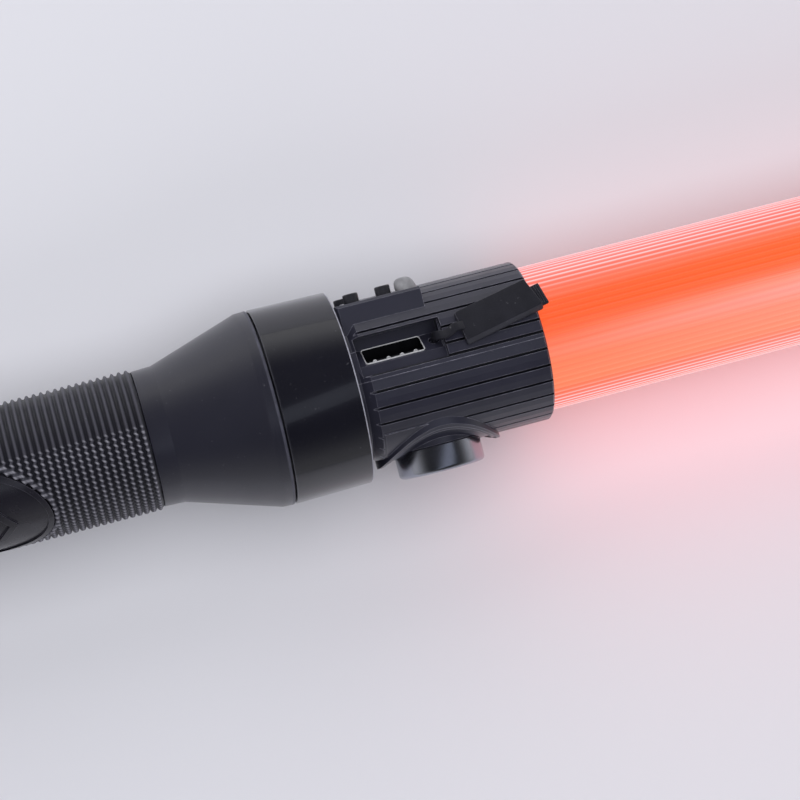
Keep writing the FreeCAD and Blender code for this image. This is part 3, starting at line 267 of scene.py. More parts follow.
def glow_material():
    """The lit tube: the colour of the light inside changes round the tube, with fine lengthwise streaks from the ribs."""
    m = bpy.data.materials.new("lit_tube")
    m.use_nodes = True
    t = m.node_tree
    p = t.nodes["Principled BSDF"]
    tc = t.nodes.new("ShaderNodeTexCoord")
    sep = t.nodes.new("ShaderNodeSeparateXYZ")
    t.links.new(tc.outputs["Object"], sep.inputs[0])
    z = math_node(t, "SUBTRACT", sep.outputs["Z"], AXIS_Z / 1000.0)
    ang = math_node(t, "ARCTAN2", sep.outputs["Y"], z)          # 0 at the top, + towards the button side
    deg = math_node(t, "MULTIPLY", ang, 180.0 / math.pi)
    # a slow twist of the streaks and a fine rib-to-rib change
    vec = t.nodes.new("ShaderNodeCombineXYZ")
    t.links.new(math_node(t, "MULTIPLY", sep.outputs["X"], 2.2), vec.inputs[0])
    t.links.new(math_node(t, "MULTIPLY", deg, 0.22), vec.inputs[1])
    streak = noise(t, vec.outputs[0], 3.2, 4.0, 0.65)
    drift = remap(t, streak, 0.3, 0.7, -3.0, 3.0)
    pos = remap(t, math_node(t, "ADD", deg, drift), -180.0, 180.0, 0.0, 1.0)

    def ramp(stops):
        r = t.nodes.new("ShaderNodeValToRGB")
        r.color_ramp.interpolation = "LINEAR"
        stops = sorted(stops)
        els = r.color_ramp.elements
        els[0].position, els[0].color = (stops[0][0] + 180) / 360.0, stops[0][1]
        els[1].position, els[1].color = (stops[-1][0] + 180) / 360.0, stops[-1][1]
        for a, c in stops[1:-1]:
            e = els.new((a + 180) / 360.0)
            e.color = c
        t.links.new(pos, r.inputs["Fac"])
        return r.outputs["Color"]

    near = ramp([(-180, rgb(210, 74, 44)), (-140, rgb(240, 108, 72)), (-110, rgb(250, 150, 130)), (-88, rgb(246, 158, 152)), (-66, rgb(244, 142, 130)),
                 (-52, rgb(242, 126, 94)), (-42, rgb(247, 141, 103)), (-24, rgb(247, 134, 96)), (-12, rgb(249, 138, 110)), (0, rgb(250, 112, 72)),
                 (12, rgb(250, 100, 51)), (24, rgb(250, 101, 53)), (34, rgb(250, 121, 92)), (46, rgb(244, 126, 104)), (56, rgb(244, 158, 148)),
                 (70, rgb(238, 150, 150)), (88, rgb(236, 160, 162)), (112, rgb(204, 72, 52)), (150, rgb(176, 48, 28)), (180, rgb(210, 74, 44))])
    far = ramp([(-180, rgb(212, 78, 48)), (-140, rgb(242, 118, 84)), (-110, rgb(250, 158, 142)), (-88, rgb(248, 168, 164)), (-66, rgb(246, 160, 152)),
                (-54, rgb(240, 140, 118)), (-42, rgb(248, 153, 124)), (-24, rgb(245, 154, 130)), (-12, rgb(243, 168, 157)), (-3, rgb(252, 158, 136)),
                (5, rgb(248, 118, 80)), (14, rgb(250, 107, 54)), (26, rgb(250, 106, 55)), (36, rgb(250, 127, 96)), (48, rgb(238, 133, 116)),
                (58, rgb(236, 140, 132)), (70, rgb(246, 168, 168)), (88, rgb(240, 164, 166)), (112, rgb(206, 76, 56)), (150, rgb(178, 50, 30)), (180, rgb(212, 78, 48))])
    along = remap(t, sep.outputs["X"], -0.06, 0.0, 0.0, 1.0)
    col = mix(t, along, near, far)
    # rib crests gather more light than the valleys
    rib = math_node(t, "COSINE", math_node(t, "MULTIPLY", ang, 72.0))
    gain = remap(t, rib, -1.0, 1.0, 0.88, 1.0)
    # towards both sides the crests turn pale and the valleys pink: painted reflection of the pale surroundings
    upper = math_node(t, "MULTIPLY", math_node(t, "GREATER_THAN", deg, 0.0), 12.0)
    far_round = remap(t, math_node(t, "ADD", math_node(t, "ABSOLUTE", deg), upper), 47.0, 64.0, 0.0, 1.0)
    # the side that faces the table stays plain red
    far_round = math_node(t, "MULTIPLY", far_round, remap(t, math_node(t, "ABSOLUTE", deg), 94.0, 122.0, 1.0, 0.0))
    crest = math_node(t, "MULTIPLY", remap(t, rib, 0.1, 0.9, 0.0, 0.85), far_round)
    valley = math_node(t, "MULTIPLY", remap(t, rib, 0.1, -0.9, 0.0, 0.5), far_round)
    col = mix(t, crest, col, rgb(253, 218, 222))
    col = mix(t, valley, col, rgb(236, 120, 116))
    fine = remap(t, noise(t, vec.outputs[0], 40.0, 2.0, 0.5), 0.3, 0.7, 0.94, 1.05)
    p.inputs["Base Color"].default_value = rgb(126, 26, 16)
    t.links.new(col, p.inputs["Emission Color"])
    t.links.new(math_node(t, "MULTIPLY", gain, fine), p.inputs["Emission Strength"])
    t.links.new(remap(t, noise(t, vec.outputs[0], 20.0, 2.0), 0.3, 0.7, 0.16, 0.3), p.inputs["Roughness"])
    p.inputs["Specular IOR Level"].default_value = 0.3
    tc2 = coords(t)
    b = t.nodes.new("ShaderNodeBump")
    b.inputs["Strength"].default_value = 0.15
    b.inputs["Distance"].default_value = 0.00003
    t.links.new(noise(t, tc2, 900.0, 2.0), b.inputs["Height"])
    t.links.new(b.outputs["Normal"], p.inputs["Normal"])
    return m


def groove_painted_shade(m):
    """Collar flutes: painted shade in the bottom of each groove."""
    t = m.node_tree
    p = t.nodes["Principled BSDF"]
    old = p.inputs["Base Color"].links[0].from_socket
    tc = t.nodes.new("ShaderNodeTexCoord")
    sep = t.nodes.new("ShaderNodeSeparateXYZ")
    t.links.new(tc.outputs["Object"], sep.inputs[0])
    z = math_node(t, "SUBTRACT", sep.outputs["Z"], AXIS_Z / 1000.0)
    r = math_node(t, "SQRT", math_node(t, "ADD", math_node(t, "MULTIPLY", sep.outputs["Y"], sep.outputs["Y"]), math_node(t, "MULTIPLY", z, z)))
    deg = math_node(t, "MULTIPLY", math_node(t, "ARCTAN2", sep.outputs["Y"], z), 180.0 / math.pi)
    shift = math_node(t, "MULTIPLY", math_node(t, "GREATER_THAN", deg, 8.0), 3.2)
    cell = math_node(t, "FRACT", math_node(t, "MULTIPLY", math_node(t, "ADD", math_node(t, "ADD", deg, shift), 8.2 + 6.0 + 360.0), 1 / 12.0))
    off = math_node(t, "MULTIPLY", math_node(t, "ABSOLUTE", math_node(t, "SUBTRACT", cell, 0.5)), 12.0)
    mask = remap(t, off, 0.98, 0.7, 0.0, 1.0)
    mask = math_node(t, "MULTIPLY", mask, remap(t, r, 0.01783, 0.01776, 0.0, 1.0))
    mask = math_node(t, "MULTIPLY", mask, remap(t, r, 0.01705, 0.01715, 0.0, 0.92))
    mask = math_node(t, "MULTIPLY", mask, remap(t, sep.outputs["X"], -0.0992, -0.0986, 0.0, 1.0))
    # the groove bottoms are darkened to near black: painted shade
    t.links.new(mix(t, mask, old, rgb(9, 9, 12)), p.inputs["Base Color"])


def rib_painted_light(m, base_socket_from):
    """Grip ribs: painted highlight on the crests, painted shade in the valleys, painted glints on one flank of each
    zigzag.
    """
    t = m.node_tree
    p = t.nodes["Principled BSDF"]
    old = p.inputs["Base Color"].links[0].from_socket
    tc = t.nodes.new("ShaderNodeTexCoord")
    sep = t.nodes.new("ShaderNodeSeparateXYZ")
    t.links.new(tc.outputs["Object"], sep.inputs[0])
    z = math_node(t, "SUBTRACT", sep.outputs["Z"], AXIS_Z / 1000.0)
    r = math_node(t, "SQRT", math_node(t, "ADD", math_node(t, "MULTIPLY", sep.outputs["Y"], sep.outputs["Y"]), math_node(t, "MULTIPLY", z, z)))
    ang = math_node(t, "ARCTAN2", sep.outputs["Y"], z)
    high = remap(t, r, 0.01484, 0.01548, 0.0, 1.0)
    turn_no = math_node(t, "FRACT", math_node(t, "ADD", math_node(t, "MULTIPLY", ang, 75 / (2 * math.pi)), 75.0))
    flank = remap(t, math_node(t, "ABSOLUTE", math_node(t, "SUBTRACT", turn_no, 0.28)), 0.12, 0.3, 1.0, 0.0)
    below = remap(t, ang, math.radians(9.5), math.radians(13.0), 1.0, 0.0)
    crest = math_node(t, "MULTIPLY", math_node(t, "POWER", high, 2.2), base_socket_from)
    glint = math_node(t, "MULTIPLY", math_node(t, "MULTIPLY", math_node(t, "POWER", high, 3.0), flank), below)
    low = math_node(t, "SUBTRACT", 1.0, high)
    # painted shade: the valleys darkened
    c = mix(t, math_node(t, "MULTIPLY", low, 0.6), old, rgb(12, 12, 17))
    # painted highlight: the crests lightened
    c = mix(t, crest, c, rgb(78, 77, 88))
    # painted glints on one flank of each zigzag
    c = mix(t, math_node(t, "MULTIPLY", glint, 0.75), c, rgb(150, 149, 160))
    t.links.new(c, p.inputs["Base Color"])


groove_painted_shade(M["collar"])
rib_painted_light(M["grip"], 0.55)
M["lens"] = lens_material()
M["glow"] = glow_material()

SLOT_TO = {
    "black_plastic": "dark", "seal_rubber": "seal", "spring_steel": "steel", "contact_brass": "brass", "core_aluminium": "alu",
    "grip_rubber": "grip", "badge_plastic": "badge", "soft_black": "cone", "gloss_black": "ring", "satin_black": "collar",
    "screw_steel": "screw", "magnet_chrome": "puck", "button_rubber": "button", "frosted_lens": "lens", "led_package": "chip",
    "board_green": "board", "board_white": "white_board", "port_steel": "steel", "tongue_plastic": "dark", "lid_rubber": "lid",
    "red_lens": "glow", "white_plastic": "white", "cell_wrap": "cell",
}
for sp in frame["record"]["subparts"]:
    o = NODES[sp["node"]]
    o.data.materials.clear()
    key = SLOT_TO.get(sp["material_slot"], "dark")
    if sp["node"] == "tail_cap":
        key = "cap"
    if sp["node"] == "tip_cap":
        key = "cap"
    # the port's contacts take the darkened brass: painted shade
    if sp["node"] == "usb_contacts":
        key = "brass_dark"
    o.data.materials.append(M[key])


# ------------------------------------------------------------------ mesh helpers
def build(name, verts, faces, mat, body, sharp=35.0, replaces=(), slot=None):
    me = bpy.data.meshes.new(name)
    me.from_pydata([tuple(v) for v in verts], [], faces)
    me.update()
    bm = bmesh.new()
    bm.from_mesh(me)
    bmesh.ops.recalc_face_normals(bm, faces=bm.faces)
    bm.to_mesh(me)
    bm.free()
    me.polygons.foreach_set("use_smooth", [True] * len(me.polygons))
    me.set_sharp_from_angle(angle=math.radians(sharp))
    o = bpy.data.objects.new(name, me)
    bpy.context.scene.collection.objects.link(o)
    me.materials.append(M[mat])
    if body:
        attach(o, body)
    if replaces:
        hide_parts(*replaces)
    return o


def grid_faces(nu, nv, wrap_u, wrap_v):
    faces = []
    for i in range(nu if wrap_u else nu - 1):
        for j in range(nv if wrap_v else nv - 1):
            a = i * nv + j
            b = ((i + 1) % nu) * nv + j
            c = ((i + 1) % nu) * nv + (j + 1) % nv
            d = i * nv + (j + 1) % nv
            faces.append((a, b, c, d))
    return faces


def rounded(points, radius, steps=5):
    """Rounds each corner of an open or closed (x, r) outline. radius is one per corner, 0 keeps it sharp."""
    out = []
    n = len(points)
    for i in range(n):
        p = np.array(points[i], float)
        r = radius[i]
        if r <= 0:
            out.append(tuple(p))
            continue
        a = np.array(points[i - 1], float)
        b = np.array(points[(i + 1) % n], float)
        ua, ub = (a - p) / np.linalg.norm(a - p), (b - p) / np.linalg.norm(b - p)
        half = math.acos(np.clip(np.dot(ua, ub), -1, 1)) / 2
        d = min(r / math.tan(half), np.linalg.norm(a - p) * 0.49, np.linalg.norm(b - p) * 0.49)
        rr = d * math.tan(half)
        c = p + (ua + ub) / np.linalg.norm(ua + ub) * rr / math.sin(half)
        s, e = p + ua * d, p + ub * d
        a0, a1 = math.atan2(*(s - c)[::-1]), math.atan2(*(e - c)[::-1])
        da = (a1 - a0 + math.pi) % (2 * math.pi) - math.pi
        for k in range(steps + 1):
            an = a0 + da * k / steps
            out.append((c[0] + rr * math.cos(an), c[1] + rr * math.sin(an)))
    return out


def lathe_x(name, outline, mat, body, segs=240, sharp=30.0, **kw):
    """Turned piece about the baton's axis from a closed outline of (t, r)."""
    pr = np.array(outline)
    a = np.linspace(0, 2 * math.pi, segs, endpoint=False)
    v = np.empty((len(pr), segs, 3))
    v[..., 0] = pr[:, None, 0]
    v[..., 1] = pr[:, None, 1] * np.sin(a)[None]
    v[..., 2] = pr[:, None, 1] * np.cos(a)[None]
    return build(name, rows(v).reshape(-1, 3), grid_faces(len(pr), segs, True, True), mat, body, sharp, **kw)


def lathe_about(name, outline, origin, axis, mat, body, segs=96, sharp=35.0, squash=None, **kw):
    """Turned piece about any axis from an open outline of (height, r) that starts and ends at r 0."""
    w = Vector(axis).normalized()
    u = Vector((1, 0, 0)) if abs(w.x) < 0.9 else Vector((0, 1, 0))
    u = (u - w * u.dot(w)).normalized()
    v = w.cross(u)
    verts, ring = [], []
    for h, r in outline:
        if r < 1e-6:
            verts.append(Vector(origin) + w * h)
            ring.append([len(verts) - 1])
            continue
        ids = []
        for k in range(segs):
            a = 2 * math.pi * k / segs
            q = Vector(origin) + w * h + (u * math.cos(a) + v * math.sin(a)) * r
            if squash:
                q = squash(q, h)
            verts.append(q)
            ids.append(len(verts) - 1)
        ring.append(ids)
    faces = []
    for r0, r1 in zip(ring, ring[1:]):
        if len(r0) == 1 and len(r1) == 1:
            continue
        for k in range(segs):
            k2 = (k + 1) % segs
            if len(r0) == 1:
                faces.append((r0[0], r1[k], r1[k2]))
            elif len(r1) == 1:
                faces.append((r0[k], r1[0], r0[k2]))
            else:
                faces.append((r0[k], r1[k], r1[k2], r0[k2]))
    return build(name, [row(*q) for q in verts], faces, mat, body, sharp, **kw)


# ------------------------------------------------------------------ ribbed grip sleeve
PITCH = 1.55
END_T = 122.7
PHASES = (0.0, 0.17, 0.34, 0.5, 0.66, 0.83)
HEIGHT = (0.0, 0.12, 0.82, 1.0, 0.82, 0.12)
NV = 450
ang = np.linspace(0, 2 * math.pi, NV, endpoint=False)
deg = (np.degrees(ang) + 180) % 360 - 180
saw = np.abs(((ang * 75 / (2 * math.pi)) % 1.0) * 2 - 1) * 2 - 1            # zigzag round the sleeve
wavy = smooth(13.0, 10.0, deg) * smooth(-170.0, -166.0, deg)                 # only on the side away from the thumb
line_t, line_h = [], []
n_ribs = 62
for k in range(n_ribs, 0, -1):
    for ph, hh in zip(PHASES, HEIGHT):
        line_t.append(END_T - k * PITCH + ph * PITCH - 0.02)
        line_h.append(hh)
line_t, line_h = np.array(line_t), np.array(line_h)
keep = (line_t > 26.6) & (line_t < END_T - 0.5)
line_t, line_h = line_t[keep], line_h[keep]
tt = np.concatenate([[25.62, 25.62, 25.9], line_t, [END_T - 0.28, END_T - 0.02, END_T - 0.02]])
hh = np.concatenate([[-2.4, 0.0, 0.8], line_h, [0.12, 0.0, -2.4]])
inner = np.array([0] + [1] * (len(tt) - 2) + [0])
free = np.clip(np.minimum(tt - 28.0, END_T - 0.7 - tt) * 1.6, 0, 1)
T = tt[:, None] + free[:, None] * (saw * wavy)[None] * 0.2
Rr = 14.83 + 0.66 * hh[:, None] + 0.0 * T
# the badge's oval bed
ba = math.radians(-42.0)
yy, zz = Rr * np.sin(ang)[None], Rr * np.cos(ang)[None]
side = yy * math.cos(ba) - zz * math.sin(ba)
facing = (yy * math.sin(ba) + zz * math.cos(ba)) > 5
oval = np.sqrt(((T - 84.5) / 15.3) ** 2 + (side / 11.8) ** 2)
inside = facing & (oval < 1.0)
rim = np.clip(1 - np.abs(oval - 1.045) / 0.045, 0, 1) * facing
Rr = np.where(inside, 14.12, np.maximum(Rr, 14.83 + 0.6 * np.sqrt(rim)))
V = np.stack([T, Rr * np.sin(ang)[None], Rr * np.cos(ang)[None]], -1)
build("grip_sleeve_ribs", rows(V).reshape(-1, 3), grid_faces(len(tt), NV, False, True), "grip", "housing", 60.0, replaces=("grip_sleeve",), slot="grip_rubber")

# ------------------------------------------------------------------ flared housing and clamp ring
cone = rounded([(122.82, 13.05), (122.82, 14.9), (127.3, 15.06), (147.35, 21.5), (149.3, 21.575), (149.93, 21.6), (150.0, 19.6), (160.85, 19.58), (160.85, 17.6), (148.0, 17.6), (138.0, 13.06)],
               [0, 0.25, 1.1, 2.6, 0, 0.32, 0, 0, 0, 0, 0])
cone_shell = lathe_x("flared_housing_shell", cone, "cone", "housing", 300, 28.0, replaces=("flared_housing",), slot="soft_black")
cone_shell.data.materials.append(M["cone_rim"])
# the cone's rounded rim next to the ring takes the paler copy: painted highlight
for f in cone_shell.data.polygons:
    c = f.center
    if (149.3 - 270.0) / 1000.0 < c.x < (149.95 - 270.0) / 1000.0 and math.hypot(c.y, c.z - AXIS_Z / 1000.0) > 0.0212:
        f.material_index = 1
ring = rounded([(150.27, 19.68), (150.27, 21.6), (167.4, 21.27), (167.4, 16.8), (163.15, 16.8), (163.15, 19.68)], [0, 0.32, 0.3, 0.25, 0, 0], 5)
ring_shell = lathe_x("clamp_ring_shell", ring, "ring", "housing", 300, 28.0, replaces=("clamp_ring",), slot="gloss_black")
# the front rim is painted pale: a painted highlight line
ring_shell.data.materials.append(M["ring_rim"])
for f in ring_shell.data.polygons:
    c = f.center
    if c.x > (167.08 - 270.0) / 1000.0 and math.hypot(c.y, c.z - AXIS_Z / 1000.0) > 0.0208:
        f.material_index = 1

# ------------------------------------------------------------------ light tube
NR, SEG = 72, 8
na = NR * SEG
a = np.linspace(0, 2 * math.pi, na, endpoint=False)
rib = 0.5 + 0.5 * np.cos(a * NR)
rt = 16.1 - 0.30 * (1 - rib ** 0.6)
tl = np.concatenate([[199.0], np.linspace(199.0, 535.9, 60), [535.9]])
rr = np.tile(rt[None], (len(tl), 1))
rr[0], rr[-1] = 14.7, 14.7
V = np.stack([np.repeat(tl[:, None], na, 1), rr * np.sin(a)[None], rr * np.cos(a)[None]], -1)
build("light_tube_ribbed", rows(V).reshape(-1, 3), grid_faces(len(tl), na, False, True), "glow", "housing", 50.0, replaces=("light_tube",), slot="red_lens")

# ------------------------------------------------------------------ buttons, lens, puck
for nm, t, z in (("power_button", 172.0, 8.5), ("flash_button", 179.1, 8.5), ("siren_button", 172.0, -8.5)):
    prof = [(14.25, 0.0), (14.25, 2.25), (14.95, 2.28), (15.0, 1.68), (18.92, 1.68)]
    prof += [(18.98 + 0.3 * math.sin(k * math.pi / 12), 1.38 + 0.3 * math.cos(k * math.pi / 12)) for k in range(1, 7)]
    prof += [(19.24, 1.1), (19.17, 0.6), (19.15, 0.0)]
    lathe_about(nm + "_cap", prof, (t, 0, z), (0, 1, 0), "button", nm, 72, replaces=(nm,), slot="button_rubber")


def lean(q, h):
    k = max(h - 17.25, 0.0)
    return Vector((q.x - 0.16 * k + (0.16 if q.x > 184.15 else 0.0) * max(0.0, 1.2 - k) * 0.5, q.y, q.z))


prof = [(13.45, 0.0), (13.45, 1.26), (17.22, 1.28), (17.25, 2.3), (17.7, 2.3)]
prof += [(17.7 + 2.35 * math.sin(k * math.pi / 28), 2.3 * math.cos(k * math.pi / 28) ** 0.62) for k in range(1, 14)] + [(20.06, 0.0)]
lathe_about("indicator_dome", prof, (184.15, 0, 8.5), (0, 1, 0), "lens", "housing", 72, squash=lean, replaces=("indicator_lens",), slot="frosted_lens")

prof = rounded([(16.76, 1.7), (16.76, 9.6), (22.6, 9.6), (22.6, 3.6), (20.8, 1.7)], [0, 0.25, 0.95, 0.1, 0], 8)
prof = [(h, r) for h, r in prof]
lathe_about("magnet_puck_body", prof, (183.4, 0, 0), (0, -1, 0), "puck", "housing", 160, 30, replaces=("magnet_puck",), slot="magnet_chrome")

# ------------------------------------------------------------------ port: folded metal shell
TP = math.radians(55.0)
TL = math.radians(19.0)
EX = Vector((1, 0, 0))
lu, ln = Vector((0, math.cos(TL), -math.sin(TL))), Vector((0, math.sin(TL), math.cos(TL)))
pu, pn = Vector((0, math.cos(TP), -math.sin(TP))), Vector((0, math.sin(TP), math.cos(TP)))
LB = Vector((150.0, 1.35, 17.75))
pc = LB + lu * 2.6 - ln * 1.65
port_c = Vector((177.4, pc.y, pc.z)) + pu * (0.5 + 5.7 / 2)
hw, hh_ = 6.55, 2.85


def loop(w, h, r, n=6):
    pts = []
    for cx, cy, a0 in ((w - r, h - r, 0), (-w + r, h - r, 90), (-w + r, -h + r, 180), (w - r, -h + r, 270)):
        for k in range(n + 1):
            an = math.radians(a0 + 90 * k / n)
            pts.append((cx + r * math.cos(an), cy + r * math.sin(an)))
    return pts


levels = [(-11.9, 0.0, False), (-0.1, 0.0, False), (0.1, 0.03, False), (0.18, 0.0, False), (0.18, -0.02, True), (0.06, 0.04, True), (-0.3, 0.0, True), (-11.3, 0.0, True)]
verts, n_l = [], None
for d, grow, inner_wall in levels:
    w, h, r = (hw + grow, hh_ + grow, 0.75) if not inner_wall else (hw - 0.16 - grow, hh_ - 0.16 - grow, 0.58)
    lp = loop(w, h, r)
    n_l = len(lp)
    for x, y in lp:
        q = port_c + EX * x + pu * y + pn * d
        verts.append(row(q.x, q.y, q.z))
faces = grid_faces(len(levels), n_l, False, True)
faces.append(tuple(range(n_l)))
faces.append(tuple((len(levels) - 1) * n_l + k for k in range(n_l)))
port = build("port_shell_metal", verts, faces, "steel", "housing", 40.0, replaces=("usb_shell",), slot="port_steel")
port.data.materials.append(M["steel_dark"])
for f in port.data.polygons:
    if f.index >= 5 * n_l:
        f.material_index = 1

# folded lip and pressed spring tabs on the near wall
for k in range(4):
    x0 = -4.5 + 3.0 * k
    prof = [(0.0, 0.0), (0.0, 0.5), (0.26, 0.5), (0.46, 0.36), (0.52, 0.0)]
    q = port_c + EX * x0 - pu * (hh_ - 0.58) + pn * -0.2
    lathe_about("port_tab_%d" % k, prof, tuple(q), tuple(pu), "steel", "housing", 24, slot="port_steel")

# ------------------------------------------------------------------ lid, open
TW = math.radians(5.9)
fold_pt = LB + EX * 39.83 + lu * 4.1 + ln * 0.39
fold_dir = (lu * math.cos(TW) - EX * math.sin(TW)) * -1.0
turn = Matrix.Rotation(math.radians(-180), 3, fold_dir)


def opened(q):
    return turn @ (q - fold_pt) + fold_pt


def lid_loop(grow, low, level, radius):
    out = rounded([(19.42 - grow, 0.12 - low), (38.08 + grow, 0.12 - low), (37.45 + grow, 7.75 + grow), (20.4 - grow, 7.75 + grow)], [radius] * 4, 5)
    return [LB + EX * x + lu * y + ln * level for x, y in out]


OUT = 0.03
lv = [(-2.6, -2.6, OUT, 0.3), (-0.28, -0.28, OUT, 0.4), (-0.03, -0.03, OUT - 0.2, 0.5), (-0.03, -0.06, OUT - 0.5, 0.5), (-0.06, -0.46, OUT - 1.05, 0.45), (-0.1, -0.8, OUT - 1.5, 0.45),
      (-0.2, -0.92, OUT - 1.57, 0.42), (-0.34, -1.06, OUT - 1.6, 0.4), (-2.7, -3.3, OUT - 1.6, 0.3)]
verts = []
for g, lo_, l, r in lv:
    verts += [row(*opened(q)) for q in lid_loop(g, lo_, l, r)]
n_l = len(lid_loop(0, 0, 0, 0.5))
faces = grid_faces(len(lv), n_l, False, True)
faces.append(tuple(range(n_l)))
faces.append(tuple((len(lv) - 1) * n_l + k for k in range(n_l)))
lid = build("port_lid_rubber", verts, faces, "lid", "lid", 35.0, replaces=("port_lid",), slot="lid_rubber")
# the drafted side walls are painted paler than the faces: painted light on a paler copy of the lid rubber
lid.data.materials.append(M["lid_side"])
for f in lid.data.polygons:
    if 3 * n_l <= f.index < 5 * n_l:
        f.material_index = 1


def slab(name, x, y, z, mat, body, bevel, xform=None, frame_of=None, slot=None, seg=3):
    """A small block with rounded edges, in a frame (origin, ex, ey, ez), limits in mm."""
    o0, ex, ey, ez = frame_of
    bm = bmesh.new()
    bmesh.ops.create_cube(bm, size=1.0)
    for v in bm.verts:
        v.co = Vector(((x[0] + x[1]) / 2 + v.co.x * (x[1] - x[0]), (y[0] + y[1]) / 2 + v.co.y * (y[1] - y[0]), (z[0] + z[1]) / 2 + v.co.z * (z[1] - z[0])))
    bmesh.ops.bevel(bm, geom=bm.edges[:], offset=bevel, segments=seg, affect="EDGES", profile=0.5)
    verts = []
    for v in bm.verts:
        q = o0 + ex * v.co.x + ey * v.co.y + ez * v.co.z
        if xform:
            q = xform(q)
        verts.append(row(*q))
    bm.verts.index_update()
    faces = [tuple(v.index for v in f.verts) for f in bm.faces]
    bm.free()
    return build(name, verts, faces, mat, body, 40.0, slot=slot)


slab("port_lip", (-6.2, 6.2), (-hh_ + 0.04, -hh_ + 0.3), (-0.3, 0.19), "steel", "housing", 0.14, None, (port_c, EX, pu, pn), "port_steel")
LIDF = (LB, EX, lu, ln)
slab("lid_finger_tab", (17.93, 20.2), (0.74, 5.76), (OUT - 0.83, OUT - 0.02), "lid", "lid", 0.24, opened, LIDF, "lid_rubber")
for k in range(3):
    slab("lid_tab_ridge_%d" % k, (18.2 + 0.5 * k, 18.42 + 0.5 * k), (1.2, 5.3), (OUT - 0.98, OUT - 0.7), "lid", "lid", 0.09, opened, LIDF, "lid_rubber")

# ------------------------------------------------------------------ strap, arched between the recess and the open lid
anchor = Vector((150.0 + 36.55, pc.y, pc.z)) + pu * 3.3
e0 = opened(LB + EX * 37.6 + lu * 4.1 + ln * (OUT - 1.6))
path = [anchor - pn * 0.7, anchor + pn * 0.9 + Vector((0, 0, 0.6)), anchor + Vector((0.4, 0.75, 3.5)), anchor + Vector((2.1, 0.6, 5.75)),
        Vector((e0.x - 1.4, e0.y + 0.2, e0.z + 0.35)), Vector((e0.x - 0.3, e0.y + 0.2, e0.z + 0.02)), Vector((e0.x + 0.7, e0.y + 0.22, e0.z - 0.6))]


def catmull(pts, n=14):
    out = []
    p = [pts[0] * 2 - pts[1]] + pts + [pts[-1] * 2 - pts[-2]]
    for i in range(1, len(p) - 2):
        for k in range(n):
            s = k / n
            out.append(0.5 * ((2 * p[i]) + (p[i + 1] - p[i - 1]) * s + (2 * p[i - 1] - 5 * p[i] + 4 * p[i + 1] - p[i + 2]) * s * s + (3 * p[i] - p[i - 1] - 3 * p[i + 1] + p[i + 2]) * s ** 3))
    out.append(pts[-1])
    return out


cl = catmull(path)
sect = rounded([(-1.0, -0.42), (1.0, -0.42), (1.0, 0.42), (-1.0, 0.42)], [0.3] * 4, 4)
verts = []
for i, c in enumerate(cl):
    tan = (cl[min(i + 1, len(cl) - 1)] - cl[max(i - 1, 0)]).normalized()
    k = min(i / 30.0, 1.0)
    side = pu * (1 - k) + lu * k
    w = (side - tan * side.dot(tan)).normalized()
    nn = tan.cross(w)
    for x, y in sect:
        q = c + w * x + nn * y
        verts.append(row(*q))
ns = len(sect)
faces = grid_faces(len(cl), ns, False, True)
faces.append(tuple(range(ns)))
faces.append(tuple((len(cl) - 1) * ns + k for k in range(ns)))
strap = build("lid_strap_band", verts, faces, "lid", None, 50.0, replaces=("lid_strap",), slot="lid_rubber")
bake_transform(strap)

# ------------------------------------------------------------------ camera
cx, cy, cz = Vector((0.95744, -0.25080, 0.14281)), Vector((0.24972, 0.96797, 0.02566)), Vector((-0.14468, 0.01109, 0.98942))
cam_data = bpy.data.cameras.new("camera")
cam_data.lens = 102.645
cam_data.sensor_width = 36.0
cam_data.clip_start, cam_data.clip_end = 0.02, 20.0
cam = bpy.data.objects.new("camera", cam_data)
bpy.context.scene.collection.objects.link(cam)
loc = Vector(row(106.0, 0.0, 493.0))
cam.matrix_world = Matrix(((cx.x, cy.x, cz.x, loc.x), (cx.y, cy.y, cz.y, loc.y), (cx.z, cy.z, cz.z, loc.z), (0, 0, 0, 1)))
bpy.context.scene.camera = cam

# ------------------------------------------------------------------ floor and light
fm = bpy.data.materials.new("floor_paper")
fm.use_nodes = True
ft = fm.node_tree
fp = ft.nodes["Principled BSDF"]
fv = coords(ft)
ft.links.new(mix(ft, remap(ft, noise(ft, fv, 3.0, 2.0), 0.3, 0.7, 0.0, 1.0), rgb(222, 222, 230), rgb(226, 226, 233)), fp.inputs["Base Color"])
fp.inputs["Roughness"].default_value = 0.55
fp.inputs["Specular IOR Level"].default_value = 0.25
me = bpy.data.meshes.new("floor")
me.from_pydata([(-4, -4, 0), (4, -4, 0), (4, 4, 0), (-4, 4, 0)], [], [(0, 1, 2, 3)])
me.materials.append(fm)
floor = bpy.data.objects.new("floor", me)
bpy.context.scene.collection.objects.link(floor)

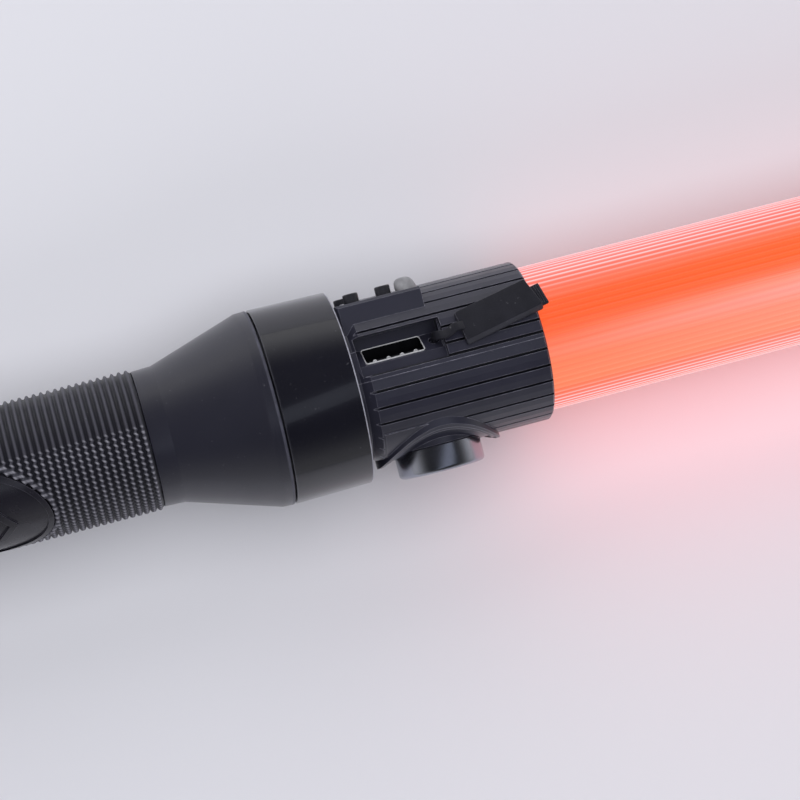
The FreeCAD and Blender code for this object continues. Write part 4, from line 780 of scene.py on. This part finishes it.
# white walls round the table, darker overhead
world = bpy.data.worlds.new("studio")
world.use_nodes = True
wt = world.node_tree
wc = wt.nodes.new("ShaderNodeTexCoord")
ws = wt.nodes.new("ShaderNodeSeparateXYZ")
wt.links.new(wc.outputs["Generated"], ws.inputs[0])
wr = wt.nodes.new("ShaderNodeValToRGB")
els = wr.color_ramp.elements
els[0].position, els[0].color = 0.0, (1, 1, 1, 1)
els[1].position, els[1].color = 0.76, (0.05, 0.05, 0.055, 1)
for at, v in ((0.24, 0.85), (0.5, 0.3), (0.64, 0.1)):
    e = els.new(at)
    e.color = (v, v, v * 1.02, 1)
wt.links.new(ws.outputs["Z"], wr.inputs["Fac"])
bg = wt.nodes["Background"]
wt.links.new(mix(wt, 1.0, wr.outputs["Color"], wr.outputs["Color"]), bg.inputs["Color"])
wt.links.new(remap(wt, ws.outputs["Y"], -0.5, 0.5, 0.42, 1.02), bg.inputs["Strength"])
bpy.context.scene.world = world


def area(name, place, target, size, power, colour=(1, 1, 1), seen=False):
    d = bpy.data.lights.new(name, "AREA")
    d.shape = "RECTANGLE"
    d.size, d.size_y = size
    d.energy = power
    d.color = colour
    o = bpy.data.objects.new(name, d)
    o.location = place
    o.rotation_euler = (Vector(target) - Vector(place)).to_track_quat("-Z", "Y").to_euler()
    o.visible_camera = False
    o.visible_glossy = seen
    bpy.context.scene.collection.objects.link(o)
    return o


area("softbox_top", (-0.1, 0.1, 1.3), (-0.1, 0, 0), (1.6, 1.4), 13.6, (1, 1, 1))
area("softbox_side", (-0.3, 0.95, 0.6), (-0.12, 0, 0.02), (1.0, 0.6), 4.2, (0.98, 0.98, 1.0))
area("fill_near", (0.0, -0.9, 0.6), (-0.1, 0, 0.02), (1.2, 0.5), 2.8, (0.98, 0.98, 1.0))
area("strip_top", (0.05, -0.2, 1.2), (-0.05, 0, 0.02), (1.3, 0.34), 0.62, (0.78, 0.84, 1.0), seen=True)
# the tube's light on the floor in front of it
area("tube_glow", (0.10, -0.0172, 0.0216), (0.10, -0.06, 0.0), (0.34, 0.024), 0.05, (1.0, 0.10, 0.16))
bpy.context.scene.view_settings.view_transform = "Standard"
bpy.context.scene.view_settings.look = "None"
